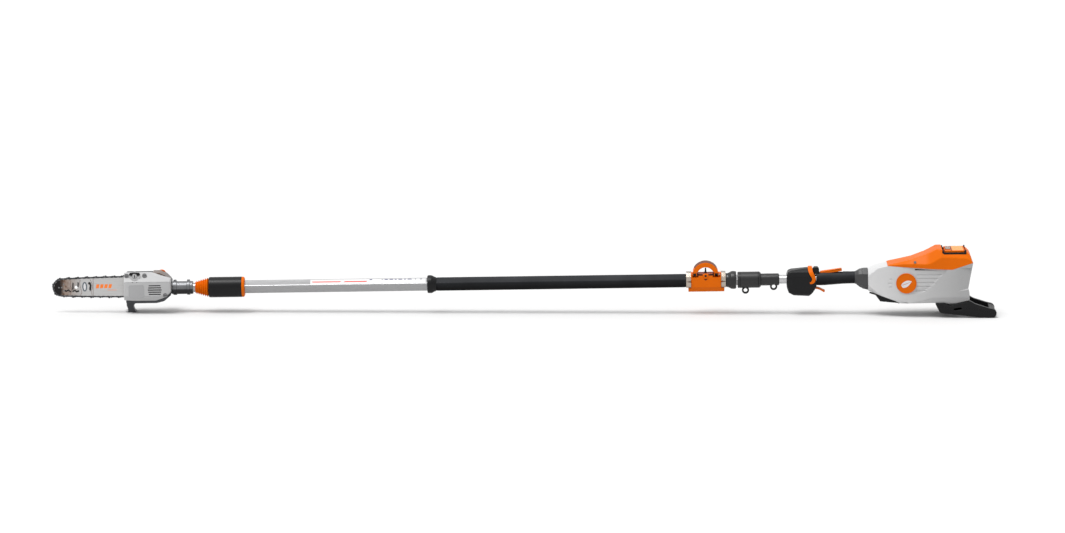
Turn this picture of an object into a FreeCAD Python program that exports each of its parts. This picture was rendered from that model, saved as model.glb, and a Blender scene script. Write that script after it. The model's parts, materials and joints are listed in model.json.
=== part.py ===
import FreeCAD, Part
import math
import os

# A battery pole saw with a telescoping square pole. Millimetres.
# Everything is drawn in the pole's own frame: X along the pole from the chain's nose to the rear bracket,
# Y away from the sprocket cover, Z up, with the pole's axis on y = 0, z = 0. The last step tips the whole
# saw so that the hook and the bracket stand on the ground, and puts the origin under its middle.

V = FreeCAD.Vector

# Poles and shafts
TUBE_TWIST = 31.0
OUTER_SIDE = 28.5
OUTER_WALL = 1.5
OUTER_START = 470.0
OUTER_END = 1950.0
INNER_SIDE = 23.2
INNER_WALL = 1.3
INNER_START = 590.0
INNER_END = 2000.0
HANDLE_TUBE_R = 12.6
HANDLE_TUBE_WALL = 1.5
HEX_FLATS = 8.0
HEX_PLAY = 0.35
FRONT_SHAFT_START = 297.0
FRONT_SHAFT_END = 1930.0
REAR_SHAFT_START = 620.0
REAR_SHAFT_END = 2404.0
REAR_SHAFT_R = 7.0
FIT = 0.05

# Guide bar and chain
BAR_Y = -22.0
BAR_MID_Z = 9.0
BAR_TIP = 8.0
BAR_HALF = 26.5
BAR_NOSE_R = 22.0
BAR_WIDEST = 229.0
BAR_END = 262.0
BAR_THICK = 3.2
BAR_GROOVE = 1.3
GROOVE_DEPTH = 4.5
BAR_HOLE_X = 71.0
BAR_HOLE_R = 4.4
CHAIN_RISE = 2.6
CHAIN_PITCHES = 100
RIVET_R = 1.25
SPROCKET_X = 285.0
SPROCKET_LINE_R = 20.0
SPROCKET_TEETH = 8
NOSE_TEETH = 9

# Bevel gears
WHEEL_TEETH = 16
PINION_TEETH = 12
GEAR_MODULE = 2.0
FACE_SHARE = 0.35
SPROCKET_SHAFT_R = 5.0
BEARING_R = 9.5
BEARING_W = 6.0

# Gear head
HEAD_PART_Y = -17.5
COVER_FRONT = 209.0
HEAD_REAR = 344.0
COVER_WALL = 2.5
SCREW_HEAD_R = 6.0

# Clamp
CLAMP_X = 1873.5
CLAMP_FRONT = 1832.0
CLAMP_REAR = 1918.0
LEVER_R = 37.5
LEVER_INNER_R = 24.5
LEVER_MID_Z = 16.5
LEVER_HALF_Y = 22.0
HINGE_Y = -18.0
HINGE_Z = 19.5
PIN_R = 2.0

# Control handle
EYELETS = ((1987.4, -29.6), (2068.0, -20.2))
SHROUD_HALF_Y = 30.0
TRIGGER_PIVOT = (2181.0, -27.0)
LOCKOUT_PIVOT = (2203.0, 16.4)

# Drive housing
HOUSING_FRONT = 2337.0
HOUSING_HALF_Y = 57.0
HOUSING_WALL = 2.8
NOSE_R = 32.0
NOSE_Z = -2.5
MOTOR_FRONT = 2408.0
MOTOR_REAR = 2490.0
MOTOR_R = 31.0
ROTOR_R = 18.5
BADGE_X = 2444.5
BADGE_Z = -8.5
BADGE_R = 29.0
BADGE_FACE_Y = 51.5
BADGE_TURN = 7.27
HOUSING_SCREWS = ((2364.0, -20.0), (2440.0, -60.0), (2500.0, -60.0), (2544.0, 18.0))
BATTERY = (2555.0, 2612.0, 41.5, -45.0, 83.0)
WELL_TOP = 76.0

# Ground contact
HOOK_FOOT = (229.0, -68.3)
BRACKET_FOOT = (2675.0, -111.0)
TILT = math.atan((HOOK_FOOT[1] - BRACKET_FOOT[1]) / (BRACKET_FOOT[0] - HOOK_FOOT[0]))

FAR = 400.0
CLEAR_ANGLE = 12.0


def ground(x):
    """Height of the ground under the pole's axis frame at x."""
    return HOOK_FOOT[1] - (x - HOOK_FOOT[0]) * math.tan(TILT)


# ---------------------------------------------------------------- basic shapes

def box(x0, x1, y0, y1, z0, z1):
    return Part.makeBox(x1 - x0, y1 - y0, z1 - z0, V(x0, y0, z0))


def rod_x(x0, x1, radius, y=0, z=0):
    return Part.makeCylinder(radius, x1 - x0, V(x0, y, z), V(1, 0, 0))


def rod_y(x, z, y0, y1, radius):
    return Part.makeCylinder(radius, y1 - y0, V(x, y0, z), V(0, 1, 0))


def polygon(points):
    corners = [V(*point) for point in points]
    return Part.Face(Part.makePolygon(corners + corners[:1]))


def inset(face, depth):
    if depth == 0:
        return face
    return Part.Face(face.OuterWire.makeOffset2D(-depth, 2))


def plate_xz(points, y0, y1, depth=0):
    """Outline in X and Z, drawn in by depth and given its thickness along Y."""
    face = inset(polygon([(x, y0, z) for x, z in points]), depth)
    return face.extrude(V(0, y1 - y0, 0))


def plate_xy(points, z0, z1, depth=0):
    face = inset(polygon([(x, y, z0) for x, y in points]), depth)
    return face.extrude(V(0, 0, z1 - z0))


def plate_yz(points, x0, x1, depth=0):
    face = inset(polygon([(x0, y, z) for y, z in points]), depth)
    return face.extrude(V(x1 - x0, 0, 0))


def turned(profile):
    """Solid of revolution about the pole's axis from (x, radius) points."""
    rim = [(x, 0, radius) for x, radius in profile]
    face = polygon(rim + [(profile[-1][0], 0, 0), (profile[0][0], 0, 0)])
    return face.revolve(V(0, 0, 0), V(1, 0, 0), 360)


def square_bar(x0, x1, side, corner):
    half = side / 2
    bar = box(x0, x1, -half, half, -half, half)
    long_edges = [edge for edge in bar.Edges if edge.BoundBox.XLength > 1]
    bar = bar.makeFillet(corner, long_edges)
    bar.rotate(V(0, 0, 0), V(1, 0, 0), TUBE_TWIST)
    return bar


def hex_bar(x0, x1, flats):
    radius = flats / math.sqrt(3)
    turns = [math.radians(60 * i + 30) for i in range(6)]
    return plate_yz([(radius * math.cos(a), radius * math.sin(a)) for a in turns], x0, x1)


def mirrored(points):
    """Closed outline from its +Y half: the same points with y negated follow in reverse order."""
    return points + [(-y, z) for y, z in reversed(points)]


def rounded_along(shape, axis, radius):
    """Fillet the straight edges that run along one axis."""
    edges = []
    for edge in shape.Edges:
        start = edge.Vertexes[0].Point
        end = edge.Vertexes[-1].Point
        run = end - start
        if run.Length > 3 * radius and abs(run.normalize().dot(axis)) > 0.999:
            edges.append(edge)
    return shape.makeFillet(radius, edges)


def rounded(shape, radius):
    """Fillet every edge of a flat-faced solid where two faces meet at a clear angle."""
    edges = []
    for edge in shape.Edges:
        first, second = [face.normalAt(0, 0) for face in shape.ancestorsOfType(edge, Part.Face)]
        if math.degrees(first.getAngle(second)) > CLEAR_ANGLE:
            edges.append(edge)
    return shape.makeFillet(radius, edges)


# ---------------------------------------------------------------- poles

def outer_tube():
    hollow = square_bar(OUTER_START - 1, OUTER_END + 1, OUTER_SIDE - 2 * OUTER_WALL, 2.5)
    return square_bar(OUTER_START, OUTER_END, OUTER_SIDE, 4).cut(hollow)


def inner_tube():
    hollow = square_bar(INNER_START - 1, INNER_END + 1, INNER_SIDE - 2 * INNER_WALL, 1.8)
    return square_bar(INNER_START, INNER_END, INNER_SIDE, 3).cut(hollow)


def outer_pole_space(x0, x1):
    """Room for the outer pole inside a piece that grips it."""
    return square_bar(x0, x1, OUTER_SIDE + 2 * FIT, 4)


def pole_guide_bush():
    bush = square_bar(1912, OUTER_END, OUTER_SIDE - 2 * OUTER_WALL - 2 * FIT, 2.4)
    return bush.cut(square_bar(1911, OUTER_END + 1, INNER_SIDE + 0.8, 3))


def pole_slider():
    slider = square_bar(INNER_START - 12, INNER_START, OUTER_SIDE - 2 * OUTER_WALL - 0.7, 2.4)
    spigot = square_bar(INNER_START, INNER_START + 15, INNER_SIDE - 2 * INNER_WALL - 2 * FIT, 1.7)
    return slider.fuse(spigot).cut(rod_x(INNER_START - 13, INNER_START + 16, 6.5))


def grip_hose():
    return square_bar(1102.5, 1818, 31.3, 6).cut(outer_pole_space(1100, 1820))


def front_collar():
    body = turned([(1077, 23.8), (1079, 25.75), (1090, 25.75), (1102.5, 19.8)])
    return body.cut(outer_pole_space(1070, 1110))


def rear_collar():
    body = turned([(1931, 19.8), (1937, 20.2), (1946, 25), (1950, 25.75), (1958, 25.75), (1961, 23.5)])
    return body.cut(outer_pole_space(1925, OUTER_END)).cut(square_bar(1940, 1970, INNER_SIDE + 1.4, 3))


def pole_sleeve():
    body = turned([(450, 26.5), (453, 29.3), (545, 29.3)])
    shell_gap = rod_x(453, 546, 26.3).cut(rod_x(453, 546, 21.5))
    body = body.cut(shell_gap)
    body = body.cut(rod_x(449, OUTER_START, 13 + FIT))
    return body.cut(outer_pole_space(OUTER_START, 560))


def sleeve_ring():
    body = turned([(545, 29.3), (549, 29.0), (552, 27.6), (553.5, 25)])
    return body.cut(outer_pole_space(540, 560))


def rubber_boot():
    """Bellows that grow towards the sleeve."""
    profile = [(411.5, 15.5)]
    folds = 5
    pitch = 7.2
    for fold in range(folds):
        x = 413 + pitch * fold
        crest = 17.5 + 2.05 * fold
        profile += [(x + 1.2, crest), (x + 4.0, crest + 0.6), (x + 5.6, crest - 2.4)]
    profile += [(450, 24)]
    return turned(profile).cut(rod_x(410, 452, 13 + FIT))


def neck_tube():
    neck = rod_x(382, OUTER_START, 13)
    plug = square_bar(OUTER_START, 498, OUTER_SIDE - 2 * OUTER_WALL - 2 * FIT, 2.4)
    return neck.fuse(plug).cut(rod_x(381, 499, 6.5))


def shaft_fitting():
    body = turned([(344, 17.5), (345, 18.5), (348, 18.5), (348.5, 20.75), (358.5, 20.75), (359, 18.5),
                   (387.5, 18.5), (388, 20.75), (396.5, 20.75), (397, 18.5), (404, 18.5), (405, 17.5)])
    spigot = rod_x(329, 344, 11)
    body = body.fuse(spigot).cut(rod_x(328, 406, 6.5))
    return body.cut(rod_x(382, 406, 13 + FIT))


# ---------------------------------------------------------------- clamp

def clamp_outline():
    """Half of the clamp's cross-section."""
    return [(0, -30.5), (13, -30.5), (19, -22), (24, -16), (24, 12), (18, 22), (0, 22)]


def hinge_shelf():
    shelf = box(CLAMP_FRONT + 3.5, CLAMP_REAR - 2.5, -30, -11, 12, 40)
    centre_plate = box(CLAMP_X - 20.5, CLAMP_X + 20.5, -24, -11, 12, 22)
    return shelf.cut(centre_plate)


def clamp_body():
    body = rounded(plate_yz(mirrored(clamp_outline()), CLAMP_FRONT, CLAMP_REAR), 2.5)
    foot = rounded(plate_yz([(-13, -30.5), (13, -30.5), (21, -18.5), (-21, -18.5)], 1824, 1927), 2)
    lugs = box(CLAMP_FRONT, CLAMP_REAR, -24, -12, 0, 25)
    body = body.fuse([foot, lugs]).removeSplitter()
    body = body.cut(hinge_shelf())
    boss = rod_y(CLAMP_X, 17, -25.5, -23, 7)
    body = body.fuse(boss).cut(rod_y(CLAMP_X, 17, -27, -19, 3))
    body = body.cut(outer_pole_space(1810, 1940))
    return body.cut(rod_x(CLAMP_FRONT - 1, CLAMP_REAR + 1, PIN_R, HINGE_Y, HINGE_Z))


def clamp_end_plates():
    outline = [(0, -18), (18, -18), (23, -12), (23, 14), (15, 24.5), (0, 24.5)]
    plates = []
    for x0, x1 in ((1818, CLAMP_FRONT), (CLAMP_REAR, 1931)):
        plate = plate_yz(mirrored(outline), x0, x1)
        plates.append(plate.cut(outer_pole_space(1810, 1940)))
    return Part.makeCompound(plates)


def clamp_lever():
    ring = rod_y(CLAMP_X, LEVER_MID_Z, -LEVER_HALF_Y, LEVER_HALF_Y, LEVER_R)
    ring = ring.cut(rod_y(CLAMP_X, LEVER_MID_Z, -FAR, FAR, LEVER_INNER_R))
    arch = ring.common(box(0, 3000, -FAR, FAR, 27, 100))
    legs = ring.common(box(0, 3000, -LEVER_HALF_Y, HINGE_Y + 4, HINGE_Z - 4.5, 30))
    knuckles = [rod_x(1836.2, 1849, 4.5, HINGE_Y, HINGE_Z), rod_x(1898, 1910.8, 4.5, HINGE_Y, HINGE_Z)]
    lever = arch.fuse([legs] + knuckles)
    return lever.cut(rod_x(1830, 1920, PIN_R + 0.06, HINGE_Y, HINGE_Z))


def clamp_pins():
    pins = [rod_x(CLAMP_FRONT, 1848.5, PIN_R, HINGE_Y, HINGE_Z)]
    pins.append(rod_x(1898.5, CLAMP_REAR, PIN_R, HINGE_Y, HINGE_Z))
    return Part.makeCompound(pins)


# ---------------------------------------------------------------- bar and chain

def arc(a, b, c):
    return Part.Arc(V(a[0], BAR_Y, a[1]), V(b[0], BAR_Y, b[1]), V(c[0], BAR_Y, c[1])).toShape()


def line(a, b):
    return Part.LineSegment(V(a[0], BAR_Y, a[1]), V(b[0], BAR_Y, b[1])).toShape()


def rail_arc(offset, side):
    """Points of one long edge of the bar, from its widest place to the nose circle, moved out by offset."""
    nose_x = BAR_TIP + BAR_NOSE_R
    run = BAR_WIDEST - nose_x
    radius = (run ** 2 + BAR_HALF ** 2 - BAR_NOSE_R ** 2) / (2 * (BAR_HALF - BAR_NOSE_R))
    full_turn = math.atan2(run, radius - BAR_HALF)
    points = []
    for share in (0, 0.5, 1):
        turn = full_turn * share
        x = BAR_WIDEST - (radius + offset) * math.sin(turn)
        height = BAR_HALF - radius + (radius + offset) * math.cos(turn)
        points.append((x, BAR_MID_Z + side * height))
    return points


def bar_face(offset):
    """Face bounded by the bar's edge moved out by offset."""
    top = rail_arc(offset, 1)
    bottom = rail_arc(offset, -1)
    tip = (BAR_TIP - offset, BAR_MID_Z)
    rear_half = 13 + offset
    rear_top = (BAR_END + offset, BAR_MID_Z + rear_half)
    rear_bottom = (BAR_END + offset, BAR_MID_Z - rear_half)
    edges = [arc(*top), arc(top[2], tip, bottom[2]), arc(*reversed(bottom))]
    edges += [line(bottom[0], rear_bottom), line(rear_bottom, rear_top), line(rear_top, top[0])]
    return Part.Face(Part.Wire(edges))


def tangent_point(point, side):
    """Where the straight run from point touches the chain's circle round the sprocket."""
    dx = point[0] - SPROCKET_X
    dz = point[1]
    away = math.atan2(dz, dx)
    spread = math.acos(SPROCKET_LINE_R / math.hypot(dx, dz))
    turn = away - side * spread
    return (SPROCKET_X + SPROCKET_LINE_R * math.cos(turn), SPROCKET_LINE_R * math.sin(turn))


def chain_path():
    """Closed line through the rivets: over the bar to the nose, back under it and round the sprocket."""
    top = rail_arc(CHAIN_RISE, 1)
    bottom = rail_arc(CHAIN_RISE, -1)
    tip = (BAR_TIP - CHAIN_RISE, BAR_MID_Z)
    upper = tangent_point(top[0], 1)
    lower = tangent_point(bottom[0], -1)
    rear = (SPROCKET_X + SPROCKET_LINE_R, 0)
    edges = [line(upper, top[0]), arc(*top), arc(top[2], tip, bottom[2]), arc(*reversed(bottom))]
    edges += [line(bottom[0], lower), arc(lower, rear, upper)]
    return Part.Wire(edges)


def rivet_points():
    return chain_path().discretize(Number=CHAIN_PITCHES + 1)[:CHAIN_PITCHES]


def link_frame(rivets, index):
    """Start rivet, direction to the next one, outward direction and pitch of one link."""
    start = rivets[index]
    run = rivets[(index + 1) % CHAIN_PITCHES] - start
    pitch = run.Length
    along = run / pitch
    outward = V(along.z, 0, -along.x)
    return start, along, outward, pitch


def link_plate(frame, outline, y0, y1, hole_r):
    """One flat chain part with two rivet holes; its outline is in (along, outward) from the first rivet."""
    start, along, outward, pitch = frame
    base = V(start.x, BAR_Y + y0, start.z)
    corners = [base + along * a + outward * b for a, b in outline]
    wires = [Part.makePolygon(corners + corners[:1])]
    for centre in (base, base + along * pitch):
        wires.append(Part.Wire(Part.Circle(centre, V(0, 1, 0), hole_r).toShape()))
    return Part.makeFace(wires, "Part::FaceMakerBullseye").extrude(V(0, y1 - y0, 0))


def drive_outline(pitch):
    return [(-2.4, -1.2), (-2.4, 1.0), (-1.2, 2.3), (pitch + 1.2, 2.3), (pitch + 2.4, 1.0),
            (pitch + 2.4, -1.2), (pitch * 0.8, -2.8), (pitch * 0.62, -5.9), (pitch * 0.38, -5.9),
            (pitch * 0.05, -2.8)]


def strap_outline(pitch):
    return [(-2.3, -0.9), (-2.3, 0.9), (-1.2, 2.1), (1.4, 2.1), (pitch / 2, 1.6), (pitch - 1.4, 2.1),
            (pitch + 1.2, 2.1), (pitch + 2.3, 0.9), (pitch + 2.3, -0.9), (pitch + 1.2, -1.9), (-1.2, -1.9)]


def cutter_outline(pitch):
    return [(-2.3, -1.9), (-2.5, 2.2), (-2.2, 4.1), (pitch * 0.42, 4.4), (pitch * 0.5, 1.9),
            (pitch * 0.72, 1.9), (pitch * 0.8, 3.7), (pitch + 1.2, 3.3), (pitch + 2.3, 1.4),
            (pitch + 2.3, -1.9)]


def chain_drive_links():
    rivets = rivet_points()
    links = []
    for index in range(0, CHAIN_PITCHES, 2):
        frame = link_frame(rivets, index)
        links.append(link_plate(frame, drive_outline(frame[3]), -0.55, 0.55, RIVET_R + 0.1))
    return Part.makeCompound(links)


def is_cutter(index, side):
    """Cutters take the place of every other pair's strap, left and right in turn."""
    return index % 4 == 1 and (index // 4) % 2 == (side > 0)


def chain_tie_straps():
    rivets = rivet_points()
    straps = []
    for index in range(1, CHAIN_PITCHES, 2):
        frame = link_frame(rivets, index)
        for side in (-1, 1):
            if not is_cutter(index, side):
                inner, outer = sorted((side * 0.6, side * 1.85))
                straps.append(link_plate(frame, strap_outline(frame[3]), inner, outer, RIVET_R + FIT))
    return Part.makeCompound(straps)


def cutter(frame, side):
    """Side plate with its depth gauge, and the top plate that leans out over the cut."""
    start, along, outward, pitch = frame
    inner, outer = sorted((side * 0.6, side * 1.85))
    plate = link_plate(frame, cutter_outline(pitch), inner, outer, RIVET_R + FIT)
    top = [(-2.1, 3.4), (-2.2, 4.1), (pitch * 0.42, 4.4), (pitch * 0.44, 3.6)]
    y0, y1 = sorted((side * 1.2, side * 3.1))
    corners = [V(start.x, BAR_Y + y0, start.z) + along * a + outward * b for a, b in top]
    roof = Part.Face(Part.makePolygon(corners + corners[:1])).extrude(V(0, y1 - y0, 0))
    return plate.fuse(roof)


def chain_cutters():
    rivets = rivet_points()
    cutters = []
    for index in range(1, CHAIN_PITCHES, 4):
        side = 1 if is_cutter(index, 1) else -1
        cutters.append(cutter(link_frame(rivets, index), side))
    return Part.makeCompound(cutters)


def chain_rivets():
    rivets = []
    for point in rivet_points():
        pin = [(-2.4, 0), (-2.4, 1.5), (-1.9, 2.0), (-1.9, RIVET_R), (1.9, RIVET_R), (1.9, 2.0), (2.4, 1.5),
               (2.4, 0)]
        face = polygon([(point.x + r, BAR_Y + y, point.z) for y, r in pin])
        rivets.append(face.revolve(V(point.x, 0, point.z), V(0, 1, 0), 360))
    return Part.makeCompound(rivets)


def guide_bar():
    """Two side rails on a smaller core, so that a groove runs all round the edge."""
    half = BAR_THICK / 2
    groove = BAR_GROOVE / 2
    nose_x = BAR_TIP + BAR_NOSE_R
    rails = bar_face(0)
    rails.translate(V(0, -half, 0))
    bar = rails.extrude(V(0, BAR_THICK, 0))
    core = bar_face(-GROOVE_DEPTH)
    core.translate(V(0, -groove - 1, 0))
    core = core.extrude(V(0, 2 * groove + 2, 0))
    core = core.cut(rod_y(nose_x, BAR_MID_Z, BAR_Y - 5, BAR_Y + 5, 18.6))
    layer = box(0, 300, BAR_Y - groove, BAR_Y + groove, -FAR, FAR)
    bar = bar.cut(layer.cut(core))
    axle = rod_y(nose_x, BAR_MID_Z, BAR_Y - half, BAR_Y + half, 3)
    bar = bar.fuse(axle)
    bar = bar.cut(rod_y(BAR_HOLE_X, BAR_MID_Z, -40, 0, BAR_HOLE_R))
    slot = [rod_y(x, BAR_MID_Z, -40, 0, 4.1) for x in (240, 254)]
    slot.append(box(240, 254, -40, 0, BAR_MID_Z - 4.1, BAR_MID_Z + 4.1))
    return bar.cut(slot)


def toothed_disc(x, z, y0, y1, tip_r, root_r, teeth):
    points = []
    step = 2 * math.pi / teeth
    for tooth in range(teeth):
        for share, radius in ((-0.36, root_r), (-0.12, tip_r), (0.12, tip_r), (0.36, root_r)):
            turn = step * (tooth + share)
            points.append((x + radius * math.cos(turn), z + radius * math.sin(turn)))
    return plate_xz(points, y0, y1)


def nose_sprocket():
    nose_x = BAR_TIP + BAR_NOSE_R
    disc = toothed_disc(nose_x, BAR_MID_Z, BAR_Y - 0.35, BAR_Y + 0.35, 17.9, 13.5, NOSE_TEETH)
    return disc.cut(rod_y(nose_x, BAR_MID_Z, -40, 0, 3 + FIT))


def chain_sprocket():
    star = toothed_disc(SPROCKET_X, 0, BAR_Y - 0.6, BAR_Y + 0.6, 13.6, 10.5, SPROCKET_TEETH)
    hub = rod_y(SPROCKET_X, 0, BAR_Y - 4, BAR_Y + 4, 9.5)
    rims = [rod_y(SPROCKET_X, 0, BAR_Y + 0.95, BAR_Y + 2.6, 17.2)]
    rims.append(rod_y(SPROCKET_X, 0, BAR_Y - 2.6, BAR_Y - 0.95, 17.2))
    return star.fuse([hub] + rims).cut(rod_y(SPROCKET_X, 0, -60, 0, SPROCKET_SHAFT_R))


# ---------------------------------------------------------------- bevel drive

def bevel_tooth(pitch_r, apex_run, share, angle, teeth):
    """Section of one tooth at a share of the distance from the apex; axis +X, apex at 0."""
    size = GEAR_MODULE * share
    half_pitch = math.pi / teeth
    points = []
    for turn, rise in ((-0.62, -1.35), (-0.22, 0.85), (0.22, 0.85), (0.62, -1.35)):
        radius = pitch_r * share + rise * size
        a = angle + turn * half_pitch
        points.append(V(apex_run * share, radius * math.cos(a), radius * math.sin(a)))
    return Part.makePolygon(points + points[:1])


def bevel_gear(teeth, mate_teeth, phase, back, hub_r):
    """Straight bevel gear on +X with its apex at 0, and a hub behind it."""
    pitch_r = GEAR_MODULE * teeth / 2
    apex_run = GEAR_MODULE * mate_teeth / 2
    small = 1 - FACE_SHARE
    root = 1.3 * GEAR_MODULE
    gear = turned([(apex_run * small, pitch_r * small - root * small), (apex_run, pitch_r - root),
                   (apex_run + back, hub_r)])
    for tooth in range(teeth):
        angle = 2 * math.pi * (tooth + phase) / teeth
        sections = [bevel_tooth(pitch_r, apex_run, share, angle, teeth) for share in (small, 1)]
        gear = gear.fuse(Part.makeLoft(sections, True, True))
    return gear


def bevel_pinion():
    gear = bevel_gear(PINION_TEETH, WHEEL_TEETH, 0.5, 8, 8)
    gear.translate(V(SPROCKET_X, 0, 0))
    return gear.cut(hex_bar(280, 330, HEX_FLATS))


def bevel_wheel():
    gear = bevel_gear(WHEEL_TEETH, PINION_TEETH, 0, 9, 9)
    gear.rotate(V(0, 0, 0), V(0, 0, 1), 90)
    gear.translate(V(SPROCKET_X, 0, 0))
    return gear.cut(rod_y(SPROCKET_X, 0, -1, 40, SPROCKET_SHAFT_R))


def front_drive_shaft():
    return hex_bar(FRONT_SHAFT_START, FRONT_SHAFT_END, HEX_FLATS)


def rear_drive_shaft():
    shaft = rod_x(REAR_SHAFT_START, REAR_SHAFT_END, REAR_SHAFT_R)
    return shaft.cut(hex_bar(REAR_SHAFT_START - 1, FRONT_SHAFT_END + 6, HEX_FLATS + 2 * HEX_PLAY))


def sprocket_shaft():
    return rod_y(SPROCKET_X, 0, BAR_Y - 7, 31, SPROCKET_SHAFT_R)


def bearing_ring(base, axis):
    ring = Part.makeCylinder(BEARING_R, BEARING_W, base, axis)
    return ring.cut(Part.makeCylinder(SPROCKET_SHAFT_R + FIT, BEARING_W, base, axis))


def head_bearings():
    rings = [bearing_ring(V(SPROCKET_X, y, 0), V(0, 1, 0)) for y in (-17, 26)]
    rings.append(bearing_ring(V(319, 0, 0), V(1, 0, 0)))
    return Part.makeCompound(rings)


# ---------------------------------------------------------------- gear head

def gear_housing():
    side = [(213, -41), (300, -41), (322, -36), (341, -20), (HEAD_REAR, -12), (HEAD_REAR, 23.5), (290, 23.5),
            (290, 47), (213, 47)]
    section = [(HEAD_PART_Y - 4, -41), (24, -41), (32, -30), (32, 34), (22, 46), (HEAD_PART_Y - 4, 47)]
    body = rounded(plate_xz(side, -60, 60).common(plate_yz(section, 200, 350)), 3)
    body = body.common(box(200, 350, HEAD_PART_Y, 60, -60, 60)).cut(tank_blank(0))
    gears = [box(262, 312, -11, 26, -20, 20), rod_x(295, 298, 11.5), rod_x(297.5, 312, 14.5)]
    body = body.cut(gears)
    seats = [rod_y(SPROCKET_X, 0, -18, -10, BEARING_R), rod_y(SPROCKET_X, 0, 20, 32, BEARING_R)]
    seats.append(rod_x(318, 326, BEARING_R))
    seats.append(rod_x(300, 320, 7))
    seats.append(rod_x(325, 350, 11))
    seats.append(rod_y(328, -15, -18, HEAD_PART_Y + 2, 2.5))
    body = body.cut(seats)
    end_cap = rod_y(SPROCKET_X, 0, 32, 35, 12)
    stud = rod_y(247, BAR_MID_Z, -31, HEAD_PART_Y, 4)
    return body.fuse([end_cap, stud])


def branch_hook():
    foot_front = (217, ground(217))
    foot_rear = (241, ground(241))
    outline = [(213, -41), (213.5, -49), (217, -58), foot_front, foot_rear, (236, -61), (233, -54),
               (234, -47), (241, -41)]
    hook = plate_xz(outline, -10, 14)
    foot_edges = box(200, 260, -20, 20, HOOK_FOOT[1] - 3, HOOK_FOOT[1] + 4)
    return rounded(hook, 1.5).fuse(hook.common(foot_edges))


def cover_volume(depth):
    side = [(COVER_FRONT, 49.5), (COVER_FRONT, -29), (245, -31), (300, -31), (328, -21), (HEAD_REAR, -6),
            (HEAD_REAR, 31), (288, 49.5)]
    section = [(HEAD_PART_Y + 4, -33), (-34, -33), (-42, -16), (-42, 24), (-24, 49.5),
               (HEAD_PART_Y + 4, 49.5)]
    volume = plate_xz(side, -60, 0, depth).common(plate_yz(section, 200, 350, depth))
    volume = rounded(volume, 4 - depth)
    return volume.common(box(200, 350, -60, HEAD_PART_Y, -60, 60))


def sprocket_cover():
    outer = cover_volume(0)
    cover = outer.cut(cover_volume(COVER_WALL))
    pads = [rod_y(x, 41.5, -60, -28, 7.5) for x in (217.5, 269)]
    pads.append(rod_y(241, 41, -60, -27.8, 15.5))
    pads.append(rod_y(328, -15, -60, HEAD_PART_Y - 0.1, 7.5))
    cover = cover.fuse([pad.common(outer) for pad in pads])
    cuts = [box(COVER_FRONT - 1, COVER_FRONT + 4, -27.5, -10, -27.5, 44.5)]
    cuts += [rod_y(x, 41.5, -60, -31, SCREW_HEAD_R + 0.5) for x in (217.5, 269)]
    cuts += [rod_y(x, 41.5, -60, -20, 2.5) for x in (217.5, 269)]
    cuts += [rod_y(328, -15, -60, -38, SCREW_HEAD_R + 0.5), rod_y(328, -15, -60, 0, 2.5)]
    cuts += [rod_y(241, 41, -60, -31, 14.3), rod_y(241, 41, -60, -20, 3 + FIT)]
    for row in range(5):
        z = 13.5 - 6.2 * row
        shift = 1.5 * abs(2 - row)
        cuts.append(box(278 + shift, 318 - shift, -60, -36, z - 1.6, z + 1.6))
    return cover.cut(cuts)


def gear_head_screws():
    """Two short screws in the cover's upper facet and one in its lower rear corner."""
    screws = []
    for x, z, seat, end in ((217.5, 41.5, -31, -28), (269, 41.5, -31, -28), (328, -15, -38, HEAD_PART_Y + 2)):
        head = rod_y(x, z, seat - 3, seat, SCREW_HEAD_R)
        slot = box(x - 4, x + 4, seat - 4, seat - 1.5, z - 0.7, z + 0.7)
        shank = rod_y(x, z, seat, end, 2.5)
        screws.append(head.cut(slot).fuse(shank))
    return Part.makeCompound(screws)


def tension_wheel():
    """Slotted wheel on a short axle that ends in a retaining head behind the cover's wall."""
    disc = rod_y(241, 41, -37, -31.35, 13)
    disc = disc.cut(box(239.8, 242.2, -38, -34, 33, 49))
    axle = rod_y(241, 41, -32, -26.5, 3)
    return disc.fuse(axle)


def tank_blank(depth):
    side = [(290, 23.5), (HEAD_REAR - 3, 23.5), (HEAD_REAR - 3, 24.5), (328, 38), (311, 46), (290, 46)]
    return plate_xz(side, HEAD_PART_Y + depth, 36 - depth, depth)


def oil_tank():
    neck = rod_y(312, 33, 30, 40, 7.5)
    body = tank_blank(0).cut(tank_blank(2.5)).fuse(neck)
    return body.cut(rod_y(312, 33, 29, 41, 5.5))


def oil_cap():
    cap = rod_y(312, 33, 36.4, 46, 13)
    cap = cap.cut(rod_y(312, 33, 36, 41, 8))
    bar = box(303, 321, 45.9, 50, 31, 35)
    plug = rod_y(312, 33, 31, 42, 5.2)
    return cap.fuse([bar, plug])


# ---------------------------------------------------------------- strap bushes and handle

def handle_tube():
    return rod_x(INNER_END + 1, 2352, HANDLE_TUBE_R).cut(rod_x(1990, 2360, HANDLE_TUBE_R - HANDLE_TUBE_WALL))


def strap_bush(profile, eyelet, space):
    x, z = eyelet
    body = turned(profile).fuse(rod_y(x, z, -4, 4, 10.4))
    body = body.cut(rod_y(x, z, -4.2, 4.2, 7.5))
    return body.cut([rod_y(x, z, -40, 40, 6.4)] + space)


def strap_bush_front():
    profile = [(1965, 22), (1966.5, 23.25), (2027, 23.25), (2031.6, 19.5)]
    square_room = square_bar(1960, INNER_END, INNER_SIDE + 2 * FIT, 3)
    round_room = rod_x(INNER_END, 2040, HANDLE_TUBE_R + FIT)
    return strap_bush(profile, EYELETS[0], [square_room, round_room])


def strap_bush_rear():
    profile = [(2031.6, 17.25), (2081, 17.25), (2084, 15.5)]
    return strap_bush(profile, EYELETS[1], [rod_x(2020, 2090, HANDLE_TUBE_R + FIT)])


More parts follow.
